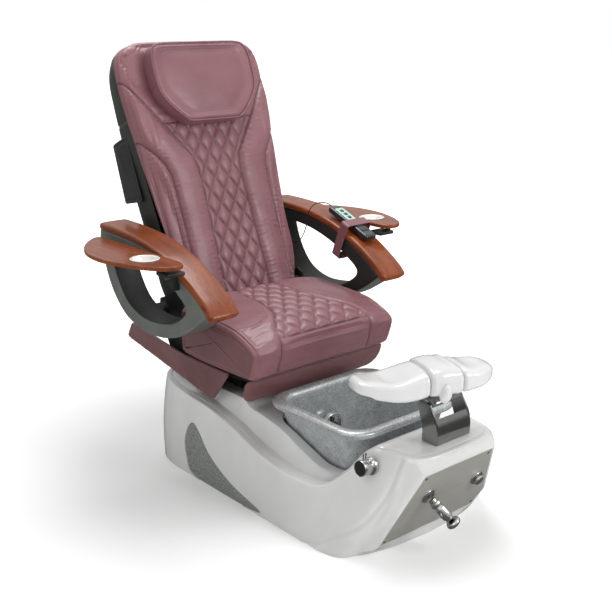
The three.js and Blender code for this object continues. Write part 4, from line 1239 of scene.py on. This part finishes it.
handset_rows = [(-117.5, 20, 7, 16), (-116.8, 23, 5, 18.4), (-114.5, 25.8, 2.8, 21), (-110, 27.8, 1, 23),
                (-104, 28.8, 0.2, 23.8)]
handset_rows += [(y, 29 - 1.4 * math.exp(-((y + 20) / 40) ** 2), 0, 24) for y in np.linspace(-96, 96, 24)]
handset_rows += [(-y, h, a, b) for y, h, a, b in handset_rows[4::-1]]
handset = grid_piece("handset_body", box_rings(handset_rows, 7.5), REMOTE_BLACK, None, REMOTE)
keys = [20, 44, 68]
well = [(0, 18), (8.7, 18), (8.7, 30), (0, 30)]
wells = [lathe_piece("well", well, [], None, local(REMOTE, (0, y, 0)), 40) for y in keys]
carve(handset, joined("wells", wells))
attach(handset, "arm_left")
stands_for(handset, "remote_body")
a = angles(40)
holes = [np.column_stack([8.5 * np.cos(a), y + 8.5 * np.sin(a)]) for y in keys]
face = plate_piece("handset_keypad", rounded_ring(0, 42, 21, 48, 6, 90), 1.6, 0.5, KEYPAD, "arm_left",
                   local(REMOTE, (0, 0, 25.2)), holes, 3)
stands_for(face, "remote_keypad")
for i, y in enumerate(keys, 1):
    cap = [(0, 0), (7.9, 0), (8, 0.3), (8, 2.8), (7.6, 3.7), (6.6, 4.3), (4.5, 4.3), (2, 3.9), (0, 3.8)]
    key = lathe_piece(f"handset_button_{i}", cap, REMOTE_BLACK, f"button_{i}", local(REMOTE, (0, y, 24.4)),
                      48, 40)
    stands_for(key, f"remote_button_{i}")
window = [(-82, 17, 24, 24.6), (-81.4, 18.4, 24, 25.3), (-60, 18.8, 24, 25.4), (-38.6, 18.4, 24, 25.3),
          (-38, 17, 24, 24.6)]
screen = grid_piece("handset_window", box_rings(window, 0.6), PLASTIC_BLACK, "arm_left", REMOTE)


def make_strap():
    """Leather band closed round the armrest and the handset."""
    half_x, low, high = 61.6, -119.6, 28.6
    ring = rounded_ring(0, (low + high) / 2, half_x, (high - low) / 2, 9, 220)
    normal = loop_normals(ring, ring.mean(0))
    section = rounded([(-21, -1.3), (21, -1.3), (21, 1.3), (-21, 1.3)], 1.2, 4, True)
    section = spread(np.vstack([section, section[:1]]), 40, True)
    rings = []
    for i, (p, n) in enumerate(zip(ring, normal)):
        sway = 0.5 * math.sin(i / len(ring) * 6.283 * 3)
        rings.append([(p[0] + n[0] * (b + 0.2 * math.sin(a / 5)), -21 + a + sway, p[1] + n[1] * b) for a,
                      b in section])
    rings = np.array(rings + rings[:1])
    k, m = rings.shape[:2]
    obj = mesh_piece("handset_strap", rings.reshape(-1, 3), grid_faces(k, m), LEATHER, "arm_left", REMOTE)
    stands_for(obj, "remote_strap")


make_strap()


# ------------------------------------------------------------------ base shell
FLOOR_CURVE = [(0, -58), (130, -48), (205, -34), (255, -20), (290, -6), (322, 8), (346, 34), (360, 90),
               (361, 124),
               (360, 152), (360, 190), (360, 250), (359, 330), (358, 420), (357, 520), (357, 578),
               (355, 720), (354, 830),
               (348, 950), (314, 1046), (232, 1104), (104, 1134), (0, 1137)]
RIDGE_CURVE = [(0, -178, 349), (70, -176, 349), (115, -171, 348), (150, -161, 348), (176, -143, 348),
               (190, -116, 348),
               (199, -78, 348), (208, -30, 347), (224, 16, 334), (264, 64, 262), (304, 122, 206),
               (322, 200, 187),
               (330, 300, 190), (333, 400, 208), (335, 510, 240), (336, 576, 264), (336, 720, 295),
               (335, 830, 304),
               (329, 945, 318), (298, 1036, 328), (222, 1088, 332), (98, 1116, 334), (0, 1120, 334)]
TOP_LEVEL = [(-300, 350), (-30, 350), (16, 345), (64, 285), (122, 228), (200, 216), (300, 250), (400, 292),
             (510, 315),
             (576, 325), (604, 345), (1200, 345)]
GROOVE = [(5.25, .99), (4.85, .80), (4.65, .64), (4.85, .51), (5.1, .38), (6.15, .24), (7.35, .07), (9.15, 0)]
RIDGE_LINE = [(4.95, 1), (4.35, .79), (3.75, .58), (3.75, .42), (4.0, .29), (5.15, .12)]
INLAY = [(812, 14), (838, 70), (846, 128), (828, 186), (796, 214), (762, 196), (690, 128), (560, 62),
         (392, 16)]
EDGE = 5.0
PANEL_OUTLINE = [(-238, 0), (204, 0), (234, 62), (160, 282), (-160, 282)]


def half_curves(index):
    order = np.arange(len(FLOOR_CURVE))
    f = np.stack([hermite(order, [p[k] for p in FLOOR_CURVE], index) for k in (0, 1)], -1)
    t = np.stack([hermite(order, [p[k] for p in RIDGE_CURVE], index) for k in (0, 1, 2)], -1)
    return f, t


def base_loop(per):
    index = np.linspace(0, 22, 22 * per + 1)
    f, t = half_curves(index)
    index = np.concatenate([index, index[-2:0:-1]])
    f = np.vstack([f, f[-2:0:-1] * [-1, 1]])
    t = np.vstack([t, t[-2:0:-1] * [-1, 1, 1]])
    return index, f, t, loop_normals(t[:, :2], [0, 450])


def wall_points(f, t, normal, share):
    """Points on the outer wall at a share of its height, 0 at the floor."""
    top = t[:, 2] - EDGE
    xy = f + (t[:, :2] - f) * (share * top / t[:, 2])[:,
                                                      None] + normal * (9 * math.sin(math.pi * min(share, 1)))
    return np.column_stack([xy, share * top])


def beyond(outline, points):
    """How far points lie outside a convex outline drawn anticlockwise."""
    far = np.full(points.shape[:-1], -1 / TINY)
    for (x0, y0), (x1, y1) in zip(outline, outline[1:] + outline[:1]):
        dx, dy = x1 - x0, y1 - y0
        far = np.maximum(far, ((points[..., 0] - x0) * dy - (points[..., 1] - y0) * dx) / math.hypot(dx, dy))
    return far


def base_surface():
    per = 14
    index, f, t, normal = base_loop(per)
    rows = [wall_points(f, t, normal, s) for s in np.linspace(0, 1, 46)]
    walls = len(rows)
    for a in np.linspace(0, math.pi / 2, 6)[1:]:
        xy = t[:, :2] - normal * EDGE * (1 - math.cos(a))
        rows.append(np.column_stack([xy, t[:, 2] - EDGE * (1 - math.sin(a))]))
    sides = ease(index, 7.2, 9.2)
    inward = np.column_stack([np.zeros(len(t)), np.clip(t[:, 1], -60, 1000)]) - t[:, :2]
    inward /= np.linalg.norm(inward, axis=1, keepdims=True)
    for d in (11, 13, 15, 17, 18.5, 20, 21.5, 23, 25, 28, 32, 37, 42, 47, 52, 57, 62, 67, 72, 78, 86):
        xy = t[:, :2] - normal * min(d, 18) + inward * max(d - 18, 0)
        bead = 1.6 * bell(d - 14, 4) - 3.2 * bell(d - 20.5, 2.6) + 2.4 * bell(d - 42, 15)
        level = hermite(*zip(*TOP_LEVEL), xy[:, 1])
        share = ease(d, 48, 82) * sides + (1 - sides) * ease(d, 8, 60)
        rows.append(np.column_stack([xy,
                                     t[:, 2] * (1 - share) + level * share + bead * (0.35 + 0.65 * sides)]))
    edge = rows[-1][:, :2]
    spine = np.column_stack([np.zeros(len(edge)), np.clip(edge[:, 1], -60, 1000)])
    for g in np.linspace(0, 1, 13)[1:]:
        xy = edge + (spine - edge) * g
        rows.append(np.column_stack([xy, hermite(*zip(*TOP_LEVEL), xy[:, 1])]))
    rings = np.array(rows)
    wall = rings[:walls]
    flat = (wall - PANEL[0]) @ PANEL[1]
    near = (1 - ease(beyond(PANEL_OUTLINE, flat), 4, 42)) * (flat[..., 2] > -90)
    flat[..., 2] += (0.4 - flat[..., 2]) * near
    wall[:] = flat @ PANEL[1].T + PANEL[0]
    outside = np.concatenate([normal, np.zeros((len(normal), 1))], 1)[None]
    for line, depth, width in ((GROOVE, -4.6, 8.0), (RIDGE_LINE, 2.6, 11.0)):
        dense = spline([(i * 40, s * 350) for i, s in line], 60) / [40, 350]
        path = []
        for i, s in dense:
            fi, ti = half_curves(np.array([i]))
            near = np.argmin(np.abs(index[: len(index) // 2 + 1] - i))
            path.append(wall_points(fi, ti, normal[near:near + 1], float(np.clip(s, 0, 1)))[0])
        path = np.array(path)
        m = wall.reshape(-1, 3).copy()
        m[:, 0] = np.abs(m[:, 0])
        d = distance_to(path, m).reshape(wall.shape[:2])
        wall += outside * (depth * bell(d, width))[..., None]
    return rings, walls, outside


def prism(name, outline, x0, x1):
    """Closed prism along X over a YZ outline, as a cutter."""
    rings = np.array([[(x, y, z) for y, z in outline] for x in (x0, x1)], float)
    return grid_piece(name, rings, [], None)


def panel_prism(grow, low, high):
    """Rings of a prism over the panel's outline, a little larger all round."""
    corners = [(-238 - grow, -grow), (204, -grow), (234 + grow, 62), (160 + grow, 282 + grow),
               (-160 - grow, 282 + grow)]
    corners = rounded(corners, 5, 4, True)
    return np.array([[(x, up, out) for x, up in corners] for out in (low, high)], float)


TUB_Y, TUB_HALF_X, TUB_HALF_Y = 271, 255, 235


def tub_rings(rows, count):
    """Rounded rectangles of the tub: rows of (inset from the rim, height, corner radius)."""
    rings = []
    for inset, z, corner in rows:
        radius = min(corner, TUB_HALF_Y - 1 - inset)
        ring = rounded_ring(0, TUB_Y, TUB_HALF_X - inset, TUB_HALF_Y - inset, radius, count)
        rings.append(np.column_stack([ring, np.full(count, z)]))
    return np.array(rings)


def make_base():
    rings, walls, outside = base_surface()
    shell = mesh_piece("base_shell_moulding", rings.reshape(-1, 3), grid_faces(*rings.shape[:2]), WHITE, None)
    weld(shell, 0.00005)
    wall = shell.modifiers.new("wall", "SOLIDIFY")
    facing_out = np.cross(np.roll(rings[0], -1, 0) - rings[0], rings[1] - rings[0])
    volume = (facing_out * (rings[0] - [0, 450, 100])).sum()
    wall.thickness, wall.offset = 0.007, -1 if volume > 0 else 1
    apply_modifiers(shell)
    tub_hole = grid_piece("hole", tub_rings([(70, 102, 60), (20.5, 354, 70), (19, 420, 70)], 120), [], None)
    cutters = [tub_hole, grid_piece("pocket", panel_prism(1, -3.4, 60), [], None, PANEL)]
    outline = spline(INLAY, 90, True)
    middle = outline.mean(0)
    grown = middle + (outline - middle) * 1.006
    cutters += [prism("inlay_hole", grown, 250, 420), prism("inlay_hole", grown, -420, -250)]
    carve(shell, joined("cutters", cutters))
    for vertex in shell.data.vertices:
        vertex.co.z = max(vertex.co.z, 0)
    if np.mean([p.normal.z for p in shell.data.polygons if p.center.z > 0.34]) < 0:
        shell.data.flip_normals()
    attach(shell, "base")
    stands_for(shell, "base_shell")

    skin = rings[:walls] - outside * 4.0
    back = rings[:walls] - outside * 9.0
    for side, s in SIDES:
        half = rings.shape[1] // 2
        cols = slice(2, half - 2) if s > 0 else slice(half + 2, 2 * half - 2)
        loop = np.concatenate([skin[:, cols], back[::-1, cols]], 0).transpose(1, 0, 2)
        inlay = grid_piece("side_inlay_stone_" + side, loop, STONE, None)
        carve(inlay, prism("inlay_form", outline, 250 * s, 420 * s), "INTERSECT")
        soften(inlay, 0.0012)
        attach(inlay, "base")
        stands_for(inlay, "side_inlay_" + side)


make_base()


# ------------------------------------------------------------------ tub, panel, sprayer, knobs
def make_tub():
    profile = [(230, 112, 4), (150, 112, 30), (90, 112, 50), (80, 114, 54), (74, 121, 56), (66, 160, 60),
               (50, 240, 66), (36, 310, 70),
               (30, 340, 72), (27, 350, 74), (22, 353, 78), (12, 353, 84), (4, 354, 87), (0.6, 359, 88),
               (0, 366, 88), (2, 373, 87),
               (6, 377, 84), (14, 378.5, 78), (26, 378.5, 70), (35, 377, 65), (41, 372, 62), (45, 362, 60),
               (48, 340, 60), (52, 300, 60),
               (62, 230, 58), (73, 160, 54), (79, 130, 50), (86, 120, 46), (98, 118, 40), (150, 118, 25),
               (230, 118, 4)]
    rows = spline(profile, 110)
    tub = grid_piece("tub_moulding", tub_rings(rows, 280), SILVER, "base")
    stands_for(tub, "tub_basin")
    cup = [(0, -2), (33, -2), (33, 4), (44, 4), (46, 6), (46, 18), (45, 21), (41, 22), (38, 21), (37, 18),
           (37, 8), (0, 8)]
    jet = lathe_piece("jet_ring", rounded(cup, 1.2, 3), CHROME, "base",
                      local(PART, (0, 438, 228), facing((0, -1, 0))), 80)
    stands_for(jet, "jet_housing")


make_tub()


SPRAYER_AT, DRAIN_AT = (-93, 168), (152, 148)
SCREWS = [(-222, 14), (196, 16), (148, 268), (-148, 268)]


def trim(name, profile, material, body, place, segments):
    """A small turned part that only the visual has."""
    lathe_piece(name, profile, material, body, place, segments)


def make_panel():
    corners = rounded(PANEL_OUTLINE, 6, 5, True)
    plate = plate_piece("front_panel_steel", corners, 2.6, 0.6, STEEL, "base", local(PANEL, (0, 0, -1.7)),
                        (), 3)
    stands_for(plate, "front_access_panel")
    for i, (x, up) in enumerate(SCREWS):
        head = [(0, -0.4), (5.4, -0.4), (5.4, 0.3), (4.4, 1.6), (2.4, 2.3), (1.4, 2.3), (1.2, 1.4), (0, 1.4)]
        trim(f"panel_screw_{i + 1}", head, CHROME, "base", local(PANEL, (x, up, 0)), 24)
    collar = [(0, 0), (27, 0), (27, 1.4), (26.2, 2.6), (24, 3.6), (21.4, 6.4), (20, 7), (17, 7.2),
              (16.2, 6.6), (16, 5), (0, 5)]
    flange = lathe_piece("sprayer_flange_chrome", collar, CHROME, "base", local(PANEL, (*SPRAYER_AT, 0.2)),
                         72)
    stands_for(flange, "sprayer_flange")
    start, _ = local(PANEL, (*SPRAYER_AT, 17))
    spray = local(PART, start, facing((0.38, -0.62, -0.69)))
    grip = [(0, 0), (12.5, 0), (13.5, 1), (13.5, 9), (15.4, 11), (18.2, 12.6), (18.8, 14), (18.8, 23),
            (18, 24.6), (14.6, 26), (14, 28), (16, 33),
            (17.6, 36.4), (18, 38), (18, 72), (17.4, 74.4), (15, 76), (13.4, 77), (13.4, 83), (13, 84),
            (0, 84)]
    handle = lathe_piece("sprayer_handle_chrome", grip, CHROME, "sprayer", spray, 64)
    stands_for(handle, "sprayer_handle")
    rose_place = local(spray, (0, 0, 89.5), facing((0.3, 0, 1)))
    head = [(0, 0), (18, 0), (20.4, 1), (23.4, 5), (24, 7), (24, 13), (23.2, 14.6), (21.2, 16),
            (19.8, 16.2), (19, 15.4), (18.2, 15.2), (0, 15.2)]
    rose = lathe_piece("sprayer_rose_chrome", head, CHROME, "sprayer", rose_place, 72)
    stands_for(rose, "sprayer_rose")
    face = [(0, 15.3), (17.8, 15.3), (17.8, 16.2), (17, 16.8), (0, 17)]
    trim("sprayer_face", face, PLASTIC_BLACK, "sprayer", rose_place, 60)
    pin = [(0, 0), (3, 0), (3, 16), (4.6, 17), (5, 19), (4.6, 21), (3, 22), (0, 22)]
    lever = local(spray, (-10, -8, 44), facing((-0.8, -0.5, 0.5)))
    trim("sprayer_lever", pin, CHROME, "sprayer", lever, 32)
    bezel = [(0, 0), (27, 0), (27, 1.6), (26, 3.2), (23.6, 4.8), (22, 5), (21, 4.2), (20, 3.6), (0, 3.6)]
    ring = lathe_piece("drain_bezel_chrome", bezel, CHROME, "base", local(PANEL, (*DRAIN_AT, 0.2)), 72)
    stands_for(ring, "drain_knob_bezel")

    def scallop(rings):
        """Five shallow finger grips round the knob."""
        a = np.arctan2(rings[..., 1], rings[..., 0])
        outer = np.hypot(rings[..., 0], rings[..., 1]) > 12
        k = 1 - 0.10 * (0.5 - 0.5 * np.cos(5 * a)) ** 3 * outer
        return rings * np.stack([k, k, np.ones_like(k)], -1)

    dial = [(0, 0), (16, 0), (18, 1), (19, 3), (19, 8), (18, 11), (15, 12.6), (8, 13.2), (6, 14.6), (4, 15),
            (0, 15)]
    place = local(PANEL, (*DRAIN_AT, 5.4))
    knob = lathe_piece("drain_dial_chrome", dial, CHROME, "drain_dial", place, 100, 35, scallop)
    stands_for(knob, "drain_knob")

    valve = local(PART, (-246, -14, 300), facing((-1, 0, 0.12)))
    barrel = [(0, -12), (29, -12), (29, -3), (28.4, -1.4), (26, 0.4), (23.4, 1.4), (22, 3), (22, 11.4),
              (21.4, 12), (0, 12)]
    stands_for(lathe_piece("valve_body_chrome", barrel, CHROME, "base", valve, 72), "side_valve_body")
    drum = [(0, 0), (24, 0), (25, 0.6), (26, 3), (26, 25), (25.6, 27.6), (24.6, 29), (23.8, 29), (23.2, 28),
            (23, 26), (0, 26)]
    seat = local(valve, (0, 0, 12.4))
    knob = lathe_piece("valve_knob_chrome", drum, CHROME, "valve_knob", seat, 80)
    stands_for(knob, "side_valve_knob")
    disc = [(0, 26.1), (22.7, 26.1), (22.8, 27.4), (21.6, 28.6), (9, 29.2), (0, 29.3)]
    trim("valve_knob_cap", disc, PLASTIC_BLACK, "valve_knob", seat, 64)
    for i, z in enumerate((8, 17)):
        prong = [(0, 0), (2.6, 0), (2.6, 20), (3.4, 23), (3.6, 25.4), (3, 27.4), (0, 28)]
        place = local(seat, (21, 0, z), facing((1, 0, 0.1 * i)))
        trim(f"valve_prong_{i + 1}", prong, CHROME, "valve_knob", place, 28)


make_panel()


# ------------------------------------------------------------------ footrest and bracket
def bow_ring(x, half, low, high, count, dip=0.0):
    """Soft-cornered section of the footrest at x, in its own frame."""
    a = angles(count)
    ca, sa = np.cos(a), np.sin(a)
    y = 15 + half * np.sign(ca) * np.abs(ca) ** 0.62
    up = np.sign(sa) * np.abs(sa) ** 0.58
    z = low + (high - low) * (0.5 + 0.5 * up) - dip * np.clip(up, 0, 1) ** 6 * (1 - ca**2)
    return np.column_stack([np.full(count, x), y, z])


PAD_ROWS = {
    "right": [(76, 80, 40, 112, 0), (81, 88, 34, 119, 0), (96, 90, 30, 117, 1), (112, 91, 27, 114, 3),
              (132, 91, 26, 110, 5),
              (150, 90, 26, 106, 7), (175, 88, 28, 102, 8), (200, 84, 32, 100, 7), (222, 78, 37, 101, 4),
              (245, 71, 43, 102, 2),
              (266, 63, 55, 103, 1), (283, 54, 60, 104, 0), (295, 44, 65, 102, 0), (303, 30, 71, 98, 0)],
    "left": [(41, 82, 38, 112, 0), (46, 89, 34, 117, 0), (60, 90, 34, 117, 1), (75, 88, 36, 114, 2),
             (92, 86, 38, 112, 3),
             (110, 82, 40, 111, 3), (128, 75, 44, 111, 1), (142, 67, 49, 110, 0), (156, 56, 56, 107, 0),
             (168, 40, 64, 102, 0)],
}
HUMP_ROWS = [(-73, 84, 42, 114, 0), (-69, 91, 36, 122, 0), (-52, 96, 32, 128, 0), (-20, 97, 31, 131, 0),
             (4, 96, 32, 129, 0),
             (34, 91, 36, 121, 0), (38, 84, 42, 113, 0)]


def bow_rings(rows, s, lengthwise, count):
    x = np.array([r[0] for r in rows], float)
    where = spread(np.column_stack([x, [r[1] for r in rows]]), lengthwise)[:, 0]
    cols = [hermite(x, [r[k] for r in rows], where) for k in (1, 2, 3, 4)]
    return np.array([bow_ring(s * xx, h, a, b, count, d) for xx, h, a, b, d in zip(where, *cols)])


def make_footrest():
    for side, s in SIDES:
        rings = bow_rings(PAD_ROWS[side], s, 90, 96)
        pad = grid_piece("footrest_saddle_" + side, rings, FOOT_WHITE, "footrest", FOOT)
        stands_for(pad, "footrest_pad_" + side)
    hump = grid_piece("footrest_hump", bow_rings(HUMP_ROWS, 1, 50, 96), FOOT_WHITE, None, FOOT)
    u = np.linspace(0.02, math.pi - 0.02, 30)
    a = angles(48)
    across, up = np.sin(u)[:, None], np.cos(u)[:, None] + 0 * a
    drop = np.stack([-28 + 20 * across * np.cos(a), -77 + 20 * across * np.sin(a) - 6 * up, 52 + 34 * up], -1)
    tongue = grid_piece("tongue", drop, FOOT_WHITE, None, FOOT)
    bridge = joined("footrest_bridge_moulding", [hump, tongue])
    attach(bridge, "footrest")
    stands_for(bridge, "footrest_bridge")


make_footrest()


def make_bracket():
    low = 351.4
    edge = spline([(-123.5, low), (-124.5, 392), (-120.5, 412.5), (-110.8, 432.5)], 40)
    step = np.gradient(edge, axis=0)
    step /= np.linalg.norm(step, axis=1, keepdims=True)
    off = np.column_stack([-step[:, 1], step[:, 0]]) * 2.4
    front = np.vstack([edge + off, (edge - off)[::-1]])
    side = spline([(-119, low), (-125, 383), (-122.5, 418), (-110, 446), (-86, 474.5), (-58, 484.5),
                   (-43, 475), (-48, 432), (-59.5, 402),
                   (-60, low)], 90)
    middle, wide, wall = FOOT[0][0], 156, 5
    parts = [plate_piece("front", front, wide, 1, BRACKET_STEEL, None, along_x(middle))]
    for x in (middle - (wide - wall) / 2, middle + (wide - wall) / 2):
        parts.append(plate_piece("side", side, wall, 1.2, BRACKET_STEEL, None, along_x(x)))
    pan = rounded([(-122, low), (-60, low), (-60, low + 4), (-122, low + 4)], 1, 2, True)
    parts.append(plate_piece("pan", pan, wide - 2, 0.6, BRACKET_STEEL, None, along_x(middle)))
    for part in parts:
        apply_modifiers(part)
    bracket = joined("footrest_bracket_steel", parts)
    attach(bracket, "base")
    stands_for(bracket, "footrest_bracket")


make_bracket()


# ------------------------------------------------------------------ stage and light
def make_stage():
    mesh = bpy.data.meshes.new("floor")
    mesh.from_pydata([(-30, -30, 0), (30, -30, 0), (30, 30, 0), (-30, 30, 0)], [], [(0, 1, 2, 3)])
    floor = bpy.data.objects.new("floor", mesh)
    scene.collection.objects.link(floor)
    look = Finish("floor", (246, 246, 246), 0.55, specular=0.2)
    look.set("Base Color", look.ramp(look.noise(0.6, 2), [(0.3, (243, 243, 243)), (0.7, (248, 248, 248))]))
    away = look.tree.nodes.new("ShaderNodeVectorMath")
    away.operation = "LENGTH"
    look.tree.links.new(look.space((0.1, 0.1, 0.1)), away.inputs[0])
    # Painted light: the floor glows, faintly near the chair and fully about three metres out, so it reads
    # white while contact shadows stay.
    look.set("Emission Color", (1, 1, 1, 1))
    look.set("Emission Strength", look.ramp(away.outputs["Value"], [(0.08, 0.16), (0.3, 1.0)]))
    mesh.materials.append(look.material)
    floor.visible_glossy = False

    sky = bpy.data.worlds.new("studio")
    scene.world = sky
    sky.use_nodes = True
    nodes, links = sky.node_tree.nodes, sky.node_tree.links
    nodes.clear()
    coords = nodes.new("ShaderNodeTexCoord")
    split = nodes.new("ShaderNodeSeparateXYZ")
    links.new(coords.outputs["Generated"], split.inputs[0])
    ramp = nodes.new("ShaderNodeValToRGB")
    stops = [(0.0, 0.16), (0.48, 0.20), (0.56, 0.55), (0.72, 1.0), (0.85, 1.35), (1.0, 1.1)]
    while len(ramp.color_ramp.elements) < len(stops):
        ramp.color_ramp.elements.new(0.5)
    for element, (position, value) in zip(ramp.color_ramp.elements, stops):
        element.position, element.color = position, (value, value, value, 1)
    shift = nodes.new("ShaderNodeMath")
    shift.operation = "MULTIPLY_ADD"
    shift.inputs[1].default_value, shift.inputs[2].default_value = 0.5, 0.5
    links.new(split.outputs["Z"], shift.inputs[0])
    links.new(shift.outputs[0], ramp.inputs["Fac"])
    plain, mirror = nodes.new("ShaderNodeBackground"), nodes.new("ShaderNodeBackground")
    plain.inputs["Color"].default_value = (1, 1, 1, 1)
    plain.inputs["Strength"].default_value = 0.4
    links.new(ramp.outputs["Color"], mirror.inputs["Color"])
    mirror.inputs["Strength"].default_value = 0.8
    path, mix = nodes.new("ShaderNodeLightPath"), nodes.new("ShaderNodeMixShader")
    white, front = nodes.new("ShaderNodeBackground"), nodes.new("ShaderNodeMixShader")
    white.inputs["Color"].default_value, white.inputs["Strength"].default_value = (1, 1, 1, 1), 1.0
    out = nodes.new("ShaderNodeOutputWorld")
    links.new(path.outputs["Is Glossy Ray"], mix.inputs["Fac"])
    links.new(plain.outputs[0], mix.inputs[1])
    links.new(mirror.outputs[0], mix.inputs[2])
    links.new(path.outputs["Is Camera Ray"], front.inputs["Fac"])
    links.new(mix.outputs[0], front.inputs[1])
    links.new(white.outputs[0], front.inputs[2])
    links.new(front.outputs[0], out.inputs["Surface"])

    for name, place, aim, size, power in (
        ("key", (1.2, -3.2, 2.6), (0, 0, 0.6), (1.6, 1.4), 56),
        ("side", (-3.2, -0.9, 2.8), (0, 0, 0.7), (1.3, 1.3), 11),
        ("top", (0.3, 0.7, 3.4), (0, 0, 0.5), (1.8, 1.8), 62),
    ):
        data = bpy.data.lights.new(name, "AREA")
        data.shape, data.size, data.size_y, data.energy = "RECTANGLE", size[0], size[1], power
        lamp = bpy.data.objects.new(name, data)
        lamp.location = place
        turn = facing(np.array(place, float) - aim)
        lamp.rotation_euler = Matrix(turn.tolist()).to_euler()
        scene.collection.objects.link(lamp)


make_stage()
scene.view_settings.view_transform = "Standard"


# ------------------------------------------------------------------ sizes and finish
def plain(bounds):
    return [[round(float(v), 6) for v in corner] for corner in bounds]
